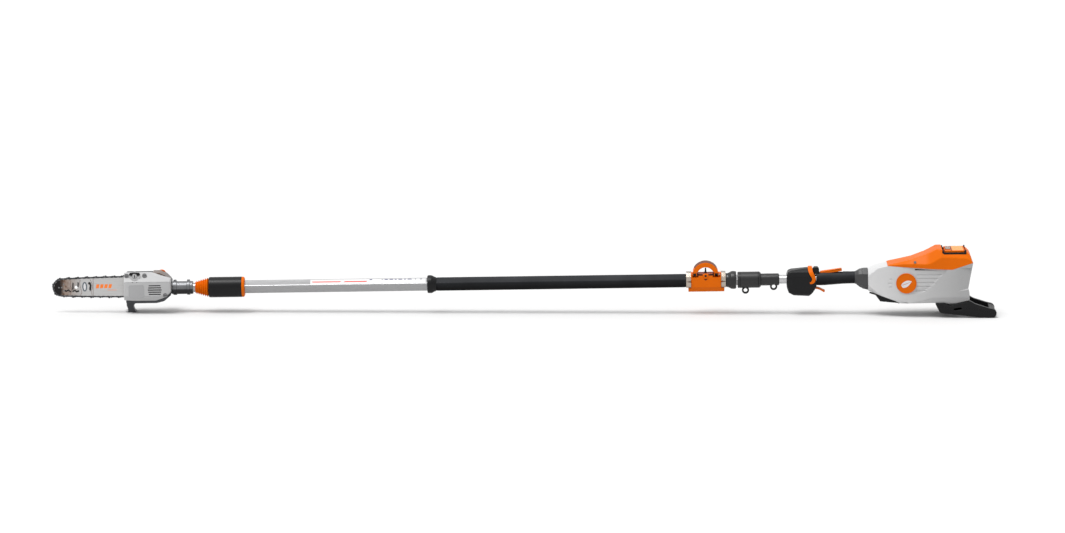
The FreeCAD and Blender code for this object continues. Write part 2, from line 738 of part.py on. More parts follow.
def eyelet_inserts():
    rings = []
    for x, z in EYELETS:
        rings.append(rod_y(x, z, -4.2, 4.2, 7.5).cut(rod_y(x, z, -5, 5, 5.5)))
    return Part.makeCompound(rings)


def shroud_volume(depth):
    side = [(2109, 24), (2118, 28), (2161, 33), (2172, 33), (2184, 20), (2190, -6), (2190, -20), (2180, -36),
            (2170, -48), (2125, -44.5), (2110, -36), (2105, -20), (2105, 14)]
    half = SHROUD_HALF_Y
    section = [(9, -50), (24, -40), (half, -22), (half, 10), (24, 24), (11, 34)]
    plan = [(2104, -24), (2114, -half), (2178, -half), (2191, -22), (2191, 22), (2178, half), (2114, half),
            (2104, 24)]
    volume = plate_xz(side, -60, 60, depth).common(plate_yz(mirrored(section), 2090, 2200, depth))
    return rounded(volume.common(plate_xy(plan, -60, 60, depth)), 8 - depth)


def shroud_shell():
    shell = shroud_volume(0).cut(shroud_volume(2.5))
    hump = plate_xz([(2176, 15), (2180, 30), (2184, 35), (2194, 35), (2198, 30), (2198, 15)], -12, 12)
    shell = shell.fuse(hump.cut(box(2176, 2187, -9.5, 9.5, 0, 32)))
    x, z = TRIGGER_PIVOT
    bosses = [rod_y(x, z, 10.6, 28, 4.2), rod_y(x, z, -28, -10.6, 4.2)]
    shell = shell.fuse([boss.common(shroud_volume(0)) for boss in bosses])
    cuts = [rod_x(2090, 2210, HANDLE_TUBE_R + FIT), rod_y(x, z, -14.6, 14.6, 2 + 0.06)]
    cuts.append(box(2172, 2200, -10.3, 10.3, -37, -20))
    return shell.cut(cuts)


def half_space(side):
    y0, y1 = sorted((0, side * FAR))
    return box(-FAR, 3200, y0, y1, -FAR, FAR)


def trigger():
    x, z = TRIGGER_PIVOT
    blade = [(x - 3, z - 3), (x - 2, z + 3), (x + 6, z + 2.4), (x + 17, z - 0.4), (x + 26, z - 4.6),
             (x + 34, z - 9.4), (x + 33.6, z - 13), (x + 29, z - 12.4), (x + 20, z - 7.4), (x + 10, z - 3),
             (x + 2, z - 3.6)]
    body = plate_xz(blade, -10, 10)
    tip = rod_y(x + 33, z - 11, -10, 10, 2.4)
    trunnion = rod_y(x, z, -14, 14, 2)
    return body.fuse([tip, trunnion, rod_y(x, z, -10, 10, 3.6)])


def grip_profile():
    return [(2190.3, 18.4), (2215, 18), (2250, 17.2), (2280, 16.4), (2299.5, 17)]


def grip_sleeve():
    body = turned(grip_profile()).cut(rod_x(2180, 2310, HANDLE_TUBE_R + FIT))
    x, z = LOCKOUT_PIVOT
    body = body.cut(box(2190, 2266, -9, 9, 13.4, 40))
    body = body.cut(rod_y(x, z, -11.6, 11.6, 1.8 + 0.06))
    return body.cut(box(2189, 2198.4, -12.4, 12.4, 14, 40))


def lockout_lever():
    x, z = LOCKOUT_PIVOT
    side = [(x - 3.6, z - 1.9), (x - 3.6, z + 1.8), (x + 30, z + 7.6), (x + 59, z + 13), (x + 61, z + 12.4),
            (x + 60.5, z + 6), (x + 20, z + 0.6)]
    return plate_xz(side, -8.6, 8.6).fuse(rod_y(x, z, -11.2, 11.2, 1.8))


def retaining_latch():
    """Band over the top of the shroud that hooks down its side."""
    side = [(2167, 36.6), (2178, 36.6), (2184, 22), (2190, 8), (2190.5, -4), (2186, -14), (2178, -20),
            (2170, -20), (2170, -12), (2176, -11), (2180, -4), (2179.5, 5), (2172, 20)]
    band = plate_xz(side, -SHROUD_HALF_Y - 3.6, -SHROUD_HALF_Y - 0.4)
    strip = [(-SHROUD_HALF_Y - 3.6, 20), (-24, 34), (-12, 36.6), (12, 36.6), (12, 33.5), (-10.5, 34.4),
             (-23, 27), (-SHROUD_HALF_Y - 0.4, 18)]
    over = plate_yz(strip, 2167, 2178)
    return band.common(box(2100, 2200, -60, 60, -60, 20)).fuse(over)


def bell_coupling():
    small = Part.Wire(Part.Circle(V(2299.5, 0, 0), V(1, 0, 0), 17).toShape())
    waist = Part.Wire(Part.Circle(V(2310, 0, -0.5), V(1, 0, 0), 20).toShape())
    large = Part.Wire(Part.Circle(V(HOUSING_FRONT, 0, NOSE_Z), V(1, 0, 0), NOSE_R - 0.4).toShape())
    body = Part.makeLoft([small, waist, large], True, True)
    return body.cut(rod_x(2290, 2350, HANDLE_TUBE_R + FIT))


# ---------------------------------------------------------------- drive housing

SPLIT_LINE = [(2392, 41.5), (2416, 39.5), (2513, 33), (2576, 30), (2635, 49)]


def plan_half():
    return [(HOUSING_FRONT, NOSE_R), (2392, 42), (2450, 51), (2520, HOUSING_HALF_Y), (2640, HOUSING_HALF_Y)]


def plan_prism(depth):
    half = plan_half()
    outline = half + [(x, -y) for x, y in reversed(half)]
    return plate_xy(outline, -120, 120, depth)


def housing_volume(depth):
    side = [(HOUSING_FRONT, 29.5)] + SPLIT_LINE
    side += [(2621, -24), (2624, -37), (2625, -59), (2570, -74), (2553, -66), (2428, -67), (2413, -60),
             (2353, -39), (HOUSING_FRONT, -34.5)]
    section = [(38, -76), (50, -68), (HOUSING_HALF_Y, -50), (HOUSING_HALF_Y, 52), (0, 60)]
    volume = plate_xz(side, -80, 80, depth).common(plate_yz(mirrored(section), 2300, 2700, depth))
    volume = volume.common(plan_prism(depth))
    nose_start = V(HOUSING_FRONT, 0, NOSE_Z)
    nose = Part.makeCone(NOSE_R + 0.5 - depth, NOSE_R + 220 - depth, 320, nose_start, V(1, 0, 0))
    return volume.common(nose)


def housing_shell():
    shell = housing_volume(0).cut(housing_volume(HOUSING_WALL))
    bulkhead = housing_volume(HOUSING_WALL).common(box(2345, 2351, -80, 80, -80, 80))
    bosses = [rod_y(x, z, -60, 60, 5.5).common(housing_volume(0)) for x, z in HOUSING_SCREWS]
    shell = shell.fuse([bulkhead] + bosses).cut(housing_screws())
    shell = shell.cut([rod_y(x, z, 33, 60, 4.6) for x, z in HOUSING_SCREWS])
    x0, x1, half_y, z0, z1 = BATTERY
    well_room = box(x0 - 3.1, x1 + 3.1, -half_y - 3.1, half_y + 3.1, z0 - 5.1, 120)
    return shell.cut([rod_x(2300, 2360, HANDLE_TUBE_R + FIT), well_room])


def cover_outline():
    roof = [(2635, 49), (2628, 71), (2618, 81.5), (2532, 90), (2499, 73), (2461, 59), (2398, 45)]
    return SPLIT_LINE + roof[1:]


def top_cover_volume(depth):
    section = [(HOUSING_HALF_Y, 20), (HOUSING_HALF_Y, 50), (48, 80), (44, 91)]
    volume = plate_xz(cover_outline(), -80, 80, depth)
    volume = volume.common(plate_yz(mirrored(section), 2300, 2700, depth))
    return volume.common(plan_prism(depth))


def notch(depth, y0, y1):
    """Saddle across the cover where the battery shows."""
    side = [(2549, 120), (2549, 78), (2554, 73.5), (2610, 73.5), (2616, 78), (2616, 120)]
    return plate_xz(side, y0, y1, depth)


def top_cover():
    cover = top_cover_volume(0).cut(top_cover_volume(HOUSING_WALL))
    x0, x1, half_y, z0, z1 = BATTERY
    cover = cover.cut(box(x0 - 3.1, x1 + 3.1, -half_y - 3.1, half_y + 3.1, 0, 120))
    return cover.cut(notch(0, -80, 80))


def battery_well():
    """Lined shaft for the battery with a lip that follows the saddle in the cover."""
    x0, x1, half_y, z0, z1 = BATTERY
    shaft = box(x0 - 3, x1 + 3, -half_y - 3, half_y + 3, z0 - 5, WELL_TOP)
    lips = notch(0, -half_y - 6, half_y + 6).cut(notch(3.2, -80, 80)).common(box(0, 3000, -80, 80, 0, 85))
    lips = lips.cut(box(0, 3000, -half_y + 6, half_y - 6, 0, 120))
    room = box(x0 - 1, x1 + 1, -half_y - 1, half_y + 1, z0 - 1, 120)
    return shaft.fuse(lips).cut(room)


def battery():
    x0, x1, half_y, z0, z1 = BATTERY
    body = box(x0, x1, -half_y, half_y, z0, z1)
    body = rounded_along(body, V(0, 0, 1), 5)
    return body.cut(box(x0 + 2.4, x0 + 17.6, -22.6, 22.6, z1 - 4, z1 + 1))


def battery_latch():
    x0, x1, half_y, z0, z1 = BATTERY
    return rounded_along(box(x0 + 3, x0 + 17, -22, 22, z1 - 1.2, z1 + 2.5), V(0, 0, 1), 1)


def side_badges():
    """Round badges that lie along the housing's widening sides."""
    badges = []
    for side in (-1, 1):
        y0, y1 = sorted((side * (BADGE_FACE_Y - 10), side * BADGE_FACE_Y))
        disc = rod_y(BADGE_X, BADGE_Z, y0, y1, BADGE_R)
        disc.rotate(V(BADGE_X, side * BADGE_FACE_Y, BADGE_Z), V(0, 0, 1), side * BADGE_TURN)
        badges.append(disc.cut(housing_volume(0)))
    return Part.makeCompound(badges)


def inlet_grille():
    side = [(2353, -39), (2371, -64), (2422, -69.5), (2428, -67), (2413, -60)]
    body = plate_xz(side, -24, 24)
    gaps = []
    for slot in range(5):
        y = -20.4 + 8.4 * slot
        gaps.append(box(2374, 2418, y, y + 6.4, -80, -55))
    return body.cut(gaps)


def bracket_rail(y0, y1):
    foot_rear = (2690, ground(2690))
    foot_front = (2655, ground(2655))
    side = [(2526, -66.5), (2540, -95), foot_front, foot_rear, (2699, -107), (2702, -96), (2697, -87),
            (2677, -82), (2640, -69.5), (2626, -60), (2570, -74.3), (2553, -66.3)]
    hole = [(2578, -83), (2600, -79.5), (2603, -85), (2582, -88)]
    return plate_xz(side, y0, y1).cut(plate_xz(hole, y0 - 1, y1 + 1))


def rear_bracket():
    rails = bracket_rail(-55, -41).fuse(bracket_rail(41, 55))
    bar = [(2676, ground(2676)), (2690, ground(2690)), (2699, -107), (2702, -96), (2697, -87), (2680, -83)]
    front = [(2540, -95), (2553, -97), (2556, -80), (2545, -74)]
    crossbars = [plate_xz(bar, -41, 41), plate_xz(front, -41, 41)]
    bracket = rails.fuse(crossbars).removeSplitter()
    return bracket.cut(housing_volume(0))


# ---------------------------------------------------------------- inside the housing

def motor_stator():
    """Stator ring in a can with an end plate at each end."""
    can = rod_x(MOTOR_FRONT, MOTOR_REAR, MOTOR_R).cut(rod_x(MOTOR_FRONT + 3, MOTOR_REAR - 3, MOTOR_R - 2))
    ring = rod_x(2420, 2478, MOTOR_R - 2).cut(rod_x(2419, 2479, ROTOR_R + 0.5))
    return can.fuse(ring).cut(rod_x(MOTOR_FRONT - 1, MOTOR_REAR + 1, 5 + FIT))


def motor_rotor():
    core = rod_x(2420, 2478, ROTOR_R)
    journals = rod_x(REAR_SHAFT_END, MOTOR_REAR + 3, 5)
    fan = rod_x(MOTOR_REAR + 0.6, MOTOR_REAR + 10, 8)
    for blade in range(9):
        fin = box(MOTOR_REAR + 1, MOTOR_REAR + 10, -1, 1, 6, 28)
        fin.rotate(V(0, 0, 0), V(1, 0, 0), 40 * blade)
        fan = fan.fuse(fin)
    return core.fuse([journals, fan])


def control_board():
    board = box(2420, 2545, -34, 34, -51, -49)
    parts = [box(x, x + 14, -12, 12, -49, -39) for x in (2430, 2456, 2482, 2508)]
    return board.fuse(parts)


def housing_screws():
    """Screws that draw the two housing shells together, with their heads on the far side."""
    screws = []
    for x, z in HOUSING_SCREWS:
        screws.append(rod_y(x, z, -30, 30, 2).fuse(rod_y(x, z, 30, 33, 4)))
    return Part.makeCompound(screws)


# ---------------------------------------------------------------- assembly

def placed(shape, shift_x):
    """Tip the pole frame onto the ground and put the origin under the middle."""
    copy = shape.copy()
    copy.rotate(V(0, 0, 0), V(0, 1, 0), -math.degrees(TILT))
    foot = HOOK_FOOT[0] * math.sin(TILT) + HOOK_FOOT[1] * math.cos(TILT)
    copy.translate(V(-shift_x, 0, -foot))
    return copy


def build():
    shroud = shroud_shell()
    housing = housing_shell()
    nodes = {
        "outer_tube": outer_tube(), "grip_hose": grip_hose(), "front_collar": front_collar(),
        "rear_collar": rear_collar(), "pole_guide_bush": pole_guide_bush(), "clamp_body": clamp_body(),
        "clamp_end_plates": clamp_end_plates(), "clamp_pins": clamp_pins(), "pole_sleeve": pole_sleeve(),
        "sleeve_ring": sleeve_ring(), "rubber_boot": rubber_boot(), "neck_tube": neck_tube(),
        "shaft_fitting": shaft_fitting(), "gear_housing": gear_housing(), "branch_hook": branch_hook(),
        "sprocket_cover": sprocket_cover(), "gear_head_screws": gear_head_screws(), "oil_tank": oil_tank(),
        "guide_bar": guide_bar(), "chain_drive_links": chain_drive_links(),
        "chain_tie_straps": chain_tie_straps(), "chain_cutters": chain_cutters(),
        "chain_rivets": chain_rivets(), "head_bearings": head_bearings(), "clamp_lever": clamp_lever(),
        "oil_cap": oil_cap(), "tension_wheel": tension_wheel(), "front_drive_shaft": front_drive_shaft(),
        "bevel_pinion": bevel_pinion(), "bevel_wheel": bevel_wheel(), "sprocket_shaft": sprocket_shaft(),
        "chain_sprocket": chain_sprocket(), "nose_sprocket": nose_sprocket(), "inner_tube": inner_tube(),
        "pole_slider": pole_slider(), "strap_bush_front": strap_bush_front(),
        "strap_bush_rear": strap_bush_rear(), "eyelet_inserts": eyelet_inserts(),
        "handle_tube": handle_tube(), "shroud_left": shroud.common(half_space(-1)),
        "shroud_right": shroud.common(half_space(1)), "grip_sleeve": grip_sleeve(),
        "bell_coupling": bell_coupling(), "housing_left": housing.common(half_space(-1)),
        "housing_right": housing.common(half_space(1)), "top_cover": top_cover(),
        "battery_well": battery_well(), "inlet_grille": inlet_grille(), "side_badges": side_badges(),
        "rear_bracket": rear_bracket(), "motor_stator": motor_stator(), "control_board": control_board(),
        "housing_screws": housing_screws(), "trigger": trigger(), "lockout_lever": lockout_lever(),
        "retaining_latch": retaining_latch(), "battery": battery(), "battery_latch": battery_latch(),
        "motor_rotor": motor_rotor(), "rear_drive_shaft": rear_drive_shaft(),
    }
    return nodes


def main():
    os.makedirs("parts", exist_ok=True)
    nodes = build()
    everything = Part.makeCompound([placed(shape, 0) for shape in nodes.values()])
    middle = everything.BoundBox.Center.x
    for name, shape in nodes.items():
        placed(shape, middle).exportStep("parts/" + name + ".step")
    print("nodes", len(nodes), "middle", middle, "tilt", math.degrees(TILT))


main()
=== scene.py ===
import json
import math
from contextlib import contextmanager

import bmesh
import bpy
from mathutils import Matrix, Vector


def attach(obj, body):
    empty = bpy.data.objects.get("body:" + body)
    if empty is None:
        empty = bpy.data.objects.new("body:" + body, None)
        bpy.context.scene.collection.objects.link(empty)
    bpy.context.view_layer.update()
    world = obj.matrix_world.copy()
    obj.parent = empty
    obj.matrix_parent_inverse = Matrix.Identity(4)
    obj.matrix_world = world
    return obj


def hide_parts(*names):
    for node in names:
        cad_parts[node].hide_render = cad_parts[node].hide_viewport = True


# Looks of the pole saw round its CAD frame. Pieces are drawn in the pole's own frame, in millimetres: x along
# the pole from the chain's tip, y away from the sprocket cover, z up, with the pole's axis on y = z = 0.

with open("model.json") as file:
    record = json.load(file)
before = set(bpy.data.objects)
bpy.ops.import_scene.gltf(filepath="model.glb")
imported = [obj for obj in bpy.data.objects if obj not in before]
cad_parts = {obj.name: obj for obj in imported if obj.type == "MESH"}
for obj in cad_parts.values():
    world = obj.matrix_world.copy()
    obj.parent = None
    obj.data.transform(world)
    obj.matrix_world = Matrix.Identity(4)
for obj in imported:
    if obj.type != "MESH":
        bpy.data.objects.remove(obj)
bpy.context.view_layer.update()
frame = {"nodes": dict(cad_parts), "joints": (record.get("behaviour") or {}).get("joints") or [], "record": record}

MM = 0.001
MOTOR_MID = 2450 * MM
SPIN = next(joint for joint in frame["joints"] if joint["name"] == "motor_spin")
POLE_X = Vector(SPIN["axis"])
POLE_Z = Vector((-POLE_X.z, 0, POLE_X.x))
POLE_START = Vector(SPIN["pos_m"]) - POLE_X * MOTOR_MID
POLE = Matrix((
    (POLE_X.x, 0, POLE_Z.x, POLE_START.x),
    (0, 1, 0, POLE_START.y),
    (POLE_X.z, 0, POLE_Z.z, POLE_START.z),
    (0, 0, 0, 1),
))
TUBE_TWIST = math.radians(31)
TUBE_HALF = 14.25
NECK_BORE = 13.05
HANDLE_BORE = 12.65
SIDES = ((-1, "a"), (1, "b"))


# ---- materials

class Shader:
    """A material whose patterns follow the piece's own coordinates."""

    def __init__(self, name):
        self.material = bpy.data.materials.new(name)
        self.material.use_nodes = True
        self.tree = self.material.node_tree
        self.surface = self.tree.nodes["Principled BSDF"]
        self.place = self.add("ShaderNodeTexCoord").outputs["Object"]

    def add(self, kind, **settings):
        made = self.tree.nodes.new(kind)
        for key, value in settings.items():
            setattr(made, key, value)
        return made

    def link(self, source, target):
        self.tree.links.new(source, target)

    def stretched(self, stretch):
        mapping = self.add("ShaderNodeMapping")
        mapping.inputs["Scale"].default_value = stretch
        self.link(self.place, mapping.inputs["Vector"])
        return mapping.outputs["Vector"]

    def noise(self, scale, detail=2.0, stretch=(1, 1, 1)):
        made = self.add("ShaderNodeTexNoise")
        made.inputs["Scale"].default_value = scale
        made.inputs["Detail"].default_value = detail
        self.link(self.stretched(stretch), made.inputs["Vector"])
        return made.outputs["Fac"]

    def cells(self, scale):
        made = self.add("ShaderNodeTexVoronoi")
        made.inputs["Scale"].default_value = scale
        self.link(self.place, made.inputs["Vector"])
        return made.outputs["Distance"]

    def ranged(self, value, low, high, start=0.3, end=0.7):
        made = self.add("ShaderNodeMapRange")
        for socket, number in zip(("From Min", "From Max", "To Min", "To Max"), (start, end, low, high)):
            made.inputs[socket].default_value = number
        self.link(value, made.inputs["Value"])
        return made.outputs["Result"]

    def mixed(self, factor, first, second):
        made = self.add("ShaderNodeMix", data_type="RGBA")
        self.link(factor, made.inputs["Factor"])
        for socket, colour in ((made.inputs["A"], first), (made.inputs["B"], second)):
            if isinstance(colour, tuple):
                socket.default_value = (*colour, 1)
            else:
                self.link(colour, socket)
        return made.outputs["Result"]

    def along(self, axis):
        made = self.add("ShaderNodeSeparateXYZ")
        self.link(self.place, made.inputs["Vector"])
        return made.outputs[axis]

    def bump(self, *layers):
        """Layers are (height, depth in metres)."""
        normal = None
        for height, depth in layers:
            made = self.add("ShaderNodeBump")
            made.inputs["Strength"].default_value = 1.0
            made.inputs["Distance"].default_value = depth
            self.link(height, made.inputs["Height"])
            if normal:
                self.link(normal, made.inputs["Normal"])
            normal = made.outputs["Normal"]
        self.link(normal, self.surface.inputs["Normal"])

    def tint(self, colour):
        self.link(colour, self.surface.inputs["Base Color"])

    def polish(self, rough):
        self.link(rough, self.surface.inputs["Roughness"])

    def set(self, **values):
        for key, value in values.items():
            self.surface.inputs[key.replace("_", " ")].default_value = value


def shade(colour, amount):
    return tuple(min(1.0, channel * amount) for channel in colour)


def moulded(name, colour, rough, gloss=0.3, grain=0.00003, spread=0.08, rear_shade=1.0):
    """Moulded plastic: fine spark-eroded grain, flow lines, uneven gloss, and a painted shade that can darken it
    rearward.
    """
    s = Shader(name)
    tone = s.mixed(s.ranged(s.noise(7, 4), 0, 1), shade(colour, 1 - spread), shade(colour, 1 + spread / 2))
    if rear_shade < 1:
        # Painted shade: the colour darkens along x towards the rear, where the housing falls out of the light.
        tone = s.mixed(s.ranged(s.along("X"), 0, 1, 2.38, 2.60), tone, shade(colour, rear_shade))
    dusty = s.mixed(s.ranged(s.noise(420, 2), 0, 0.25, 0.56, 0.8), tone, shade(colour, 0.9))
    s.tint(dusty)
    s.polish(s.ranged(s.noise(26, 3, (0.35, 1, 1)), rough - 0.06, rough + 0.08))
    s.bump((s.noise(1500, 3), grain), (s.cells(2600), grain * 0.5))
    s.set(Specular_IOR_Level=gloss)
    return s.material


def rubbery(name, colour, rough, grain=0.00008):
    """Soft rubber: coarse open grain, patchy tone, a painted highlight that lightens its upper side, painted shade
    on its underside and a broad dull highlight.
    """
    s = Shader(name)
    tone_patches = s.ranged(s.noise(14, 5), 0, 1, 0.35, 0.75)
    below = s.mixed(tone_patches, shade(colour, 0.5), colour)
    above = s.mixed(tone_patches, shade(colour, 5), shade(colour, 8))
    # Painted light and shade: by height, the upper side is made several times lighter and the underside darker.
    s.tint(s.mixed(s.ranged(s.along("Z"), 0, 1, -0.010, 0.016), below, above))
    s.polish(s.ranged(s.noise(60, 3), rough - 0.07, rough + 0.07))
    s.bump((s.noise(900, 4), grain), (s.cells(1300), grain * 0.6))
    s.set(Specular_IOR_Level=0.1)
    return s.material


def drawn_metal(name, colour, rough, stretch=(0.012, 1, 1), scratch=0.00001, turned=0.3):
    """Metal with fine lines along one direction and faint cloudiness."""
    s = Shader(name)
    lines = s.noise(1900, 3, stretch)
    tone = s.mixed(s.ranged(lines, 0, 1), shade(colour, 0.9), shade(colour, 1.05))
    clouded = s.mixed(s.ranged(s.noise(11, 4), 0, 0.25), tone, shade(colour, 0.82))
    s.tint(clouded)
    s.polish(s.ranged(lines, rough - 0.06, rough + 0.1))
    s.bump((lines, scratch))
    s.set(Metallic=1.0, Anisotropic=turned)
    return s.material


def cast(name, colour, rough, metal=0.6, lower_shade=None):
    """Die-cast alloy under a thin coat: pebbled skin, a few darker pits, and a painted shade that can darken its
    lower half.
    """
    s = Shader(name)
    skin = s.noise(520, 4)
    pits = s.ranged(s.cells(330), 1, 0, 0.0, 0.16)
    tone = s.mixed(s.ranged(s.noise(20, 4), 0, 1), shade(colour, 0.85), shade(colour, 1.15))
    if lower_shade:
        # Painted shade: below the middle the colour turns to the given dark tone, in place of the dark reflection
        # on the lower half.
        tone = s.mixed(s.ranged(s.along("Z"), 0, 1, -0.003, 0.001), lower_shade, tone)
    s.tint(s.mixed(s.ranged(pits, 0, 0.5, 0, 1), tone, shade(colour, 0.5)))
    s.polish(s.ranged(skin, rough - 0.06, rough + 0.12))
    s.bump((skin, 0.00006), (s.noise(2400, 2), 0.00002))
    s.set(Metallic=metal)
    return s.material


def oiled_steel(name, colour, rough):
    """Hardened chain steel with an oil film that darkens it in patches."""
    s = Shader(name)
    film = s.noise(160, 4)
    tone = s.mixed(s.ranged(film, 0, 1), shade(colour, 0.45), shade(colour, 1.25))
    s.tint(tone)
    s.polish(s.ranged(film, rough - 0.1, rough + 0.14))
    s.bump((s.noise(2600, 3), 0.000012))
    s.set(Metallic=1.0)
    return s.material


def bar_metal():
    """Ground bar steel with a burnished dark nose and a warm oil tint behind it."""
    s = Shader("bar_metal")
    lines = s.noise(2100, 3, (0.015, 1, 1))
    plain = s.mixed(s.ranged(lines, 0, 1), (0.46, 0.455, 0.45), (0.57, 0.565, 0.56))
    ragged = s.add("ShaderNodeMath", operation="MULTIPLY_ADD")
    s.link(s.noise(70, 3), ragged.inputs[0])
    ragged.inputs[1].default_value = 0.014
    s.link(s.along("X"), ragged.inputs[2])
    oily = s.mixed(s.ranged(s.noise(95, 4), 0, 1, 0.42, 0.62), (0.30, 0.23, 0.19), (0.15, 0.085, 0.055))
    behind = s.mixed(s.ranged(ragged.outputs["Value"], 1, 0, 0.050, 0.095), plain, oily)
    nose = s.ranged(ragged.outputs["Value"], 1, 0, 0.034, 0.046)
    s.tint(s.mixed(nose, behind, (0.012, 0.010, 0.010)))
    s.polish(s.ranged(lines, 0.34, 0.48))
    s.bump((lines, 0.000008))
    s.set(Metallic=0.7, Anisotropic=0.3)
    return s.material


def tank_material():
    """Dark smoky tank plastic, lighter above the oil's level, with a thin gloss."""
    s = Shader("tank_plastic")
    level = s.ranged(s.along("Z"), 0, 1, 0.026, 0.050)
    tone = s.mixed(level, (0.022, 0.014, 0.010), (0.10, 0.045, 0.018))
    s.tint(s.mixed(s.ranged(s.noise(16, 2), 0, 0.5), tone, (0.02, 0.014, 0.01)))
    s.polish(s.ranged(s.noise(20, 2), 0.26, 0.34))
    s.bump((s.noise(60, 2), 0.00002))
    s.set(Coat_Weight=0.3, Coat_Roughness=0.1)
    return s.material


def wound(name):
    """Varnished copper winding."""
    s = Shader(name)
    turns = s.noise(900, 2, (1, 0.05, 0.05))
    s.tint(s.mixed(s.ranged(turns, 0, 1), (0.22, 0.07, 0.02), (0.62, 0.27, 0.1)))
    s.polish(s.ranged(turns, 0.25, 0.45))
    s.bump((turns, 0.0001))
    s.set(Metallic=0.7)
    return s.material


ORANGE = (0.62, 0.116, 0.0004)
BLACK = (0.0035, 0.0037, 0.0042)
MATERIALS = {
    "aluminium": drawn_metal("anodised_aluminium", (0.37, 0.37, 0.375), 0.27),
    "black_plastic": moulded("black_plastic", BLACK, 0.34, gloss=0.22),
    "black_rubber": rubbery("black_rubber", BLACK, 0.42),
    "orange_plastic": moulded("orange_plastic", ORANGE, 0.38, gloss=0.08),
    "grey_plastic": moulded("light_grey_plastic", (0.41, 0.41, 0.413), 0.42),
    "cast_metal": cast("cast_alloy", (0.055, 0.057, 0.062), 0.42),
    "steel": drawn_metal("zinc_steel", (0.22, 0.22, 0.225), 0.34, stretch=(1, 1, 0.1)),
    "bar_steel": bar_metal(),
    "chain_steel": oiled_steel("chain_steel", (0.09, 0.09, 0.095), 0.34),
    "tank_plastic": tank_material(),
    "bright_plate": drawn_metal("bright_plate", (0.46, 0.40, 0.34), 0.22),
    "winding": wound("varnished_winding"),
    "board": moulded("board_lacquer", (0.01, 0.10, 0.035), 0.3),
}
# The fitting's darker lower half is painted shade.
FITTING = cast("fitting_alloy", (0.17, 0.173, 0.18), 0.34, metal=0.8, lower_shade=(0.028, 0.028, 0.03))
PRINT_TONES = {
    "black": (0.012, 0.011, 0.011),
    "slate": (0.10, 0.12, 0.14),
    "orange": (0.85, 0.20, 0.03),
    "brown": (0.10, 0.02, 0.005),
    "red": (0.62, 0.03, 0.008),
    "blue": (0.012, 0.014, 0.10),
}
PRINT = {name: moulded("print_" + name, tone, 0.5) for name, tone in PRINT_TONES.items()}
PRINT["white"] = moulded("print_white", (0.62, 0.62, 0.63), 0.4)
PRINT["peach"] = moulded("print_peach", (0.78, 0.30, 0.085), 0.4)
BRIGHT_TUBE = drawn_metal("polished_tube", (0.56, 0.56, 0.565), 0.24)
# The housing's rearward darkening is painted shade.
HOUSING_GREY = moulded("housing_grey", (0.55, 0.55, 0.553), 0.42, rear_shade=0.58)
BELL_GREY = moulded("bell_plastic", (0.046, 0.046, 0.047), 0.4)
GLOSS_BLACK = moulded("glossy_black", (0.012, 0.012, 0.0125), 0.30, gloss=0.4, grain=0.00001)
SHADE_GREY = moulded("shaded_grey_plastic", (0.335, 0.335, 0.34), 0.42)
SLOT_OF = {part["node"]: part["material_slot"] for part in frame["record"]["subparts"]}
BODY_OF = {node: body for body, nodes in frame["record"]["behaviour"]["bodies"].items() for node in nodes}


# ---- mesh tools

def new_object(name, data):
    obj = bpy.data.objects.new(name, data)
    bpy.context.scene.collection.objects.link(obj)
    return obj


def placed(name, mesh):
    obj = new_object(name, mesh)
    obj.matrix_world = POLE
    return obj


def settle(obj):
    """Applies the modifiers."""
    graph = bpy.context.evaluated_depsgraph_get()
    mesh = bpy.data.meshes.new_from_object(obj.evaluated_get(graph))
    obj.modifiers.clear()
    obj.data = mesh


@contextmanager
def edited(mesh):
    """Opens a mesh for editing and writes it back."""
    work = bmesh.new()
    work.from_mesh(mesh)
    yield work
    work.to_mesh(mesh)
    work.free()


def bevelled(obj, width, segments, limit, angle):
    bevel = obj.modifiers.new("bevel", "BEVEL")
    bevel.width = width * MM
    bevel.segments = segments
    bevel.limit_method = limit
    bevel.angle_limit = math.radians(angle)
    bevel.use_clamp_overlap = False
    settle(obj)


def mend(obj):
    """Merges doubled points and closes pinholes left by carving and rounding."""
    with edited(obj.data) as work:
        bmesh.ops.remove_doubles(work, verts=work.verts, dist=0.004 * MM)
        bmesh.ops.dissolve_degenerate(work, edges=work.edges, dist=0.002 * MM)
        rims = [edge for edge in work.edges if len(edge.link_faces) == 1]
        bmesh.ops.holes_fill(work, edges=rims, sides=12)


def soften(obj, width, segments=2, angle=32):
    """Rounds the sharp edges and keeps the big faces flat."""
    if width:
        bevelled(obj, width, segments, "ANGLE", angle)
    mend(obj)
    obj.data.shade_smooth()
    obj.data.set_sharp_from_angle(angle=math.radians(40))
    weighted = obj.modifiers.new("weighted", "WEIGHTED_NORMAL")
    weighted.keep_sharp = True
    settle(obj)
    return obj


def round_chosen(obj, width, wanted, segments=3, shortest=2.0):
    """Rounds the convex edges that wanted(middle, first normal, second normal) picks; millimetres."""
    least = shortest * width * MM
    with edited(obj.data) as work:
        layer = work.edges.layers.float.new("bevel_weight_edge")
        for edge in work.edges:
            if len(edge.link_faces) != 2 or not edge.is_convex or edge.calc_length() < least:
                continue
            first, second = (face.normal for face in edge.link_faces)
            middle = (edge.verts[0].co + edge.verts[1].co) / (2 * MM)
            if first.angle(second) > math.radians(12) and wanted(middle, first, second):
                edge[layer] = 1.0
    bevelled(obj, width, segments, "WEIGHT", 0)
    return obj


def dress(obj, body, slot, material=None, replaced=()):
    obj.data.materials.clear()
    obj.data.materials.append(material or MATERIALS[slot])
    for face in obj.data.polygons:
        face.material_index = 0
    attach(obj, body)
    if replaced:
        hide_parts(*replaced)
    return obj


def stand_for(obj, node, material=None):
    return dress(obj, BODY_OF[node], SLOT_OF[node], material, (node,))


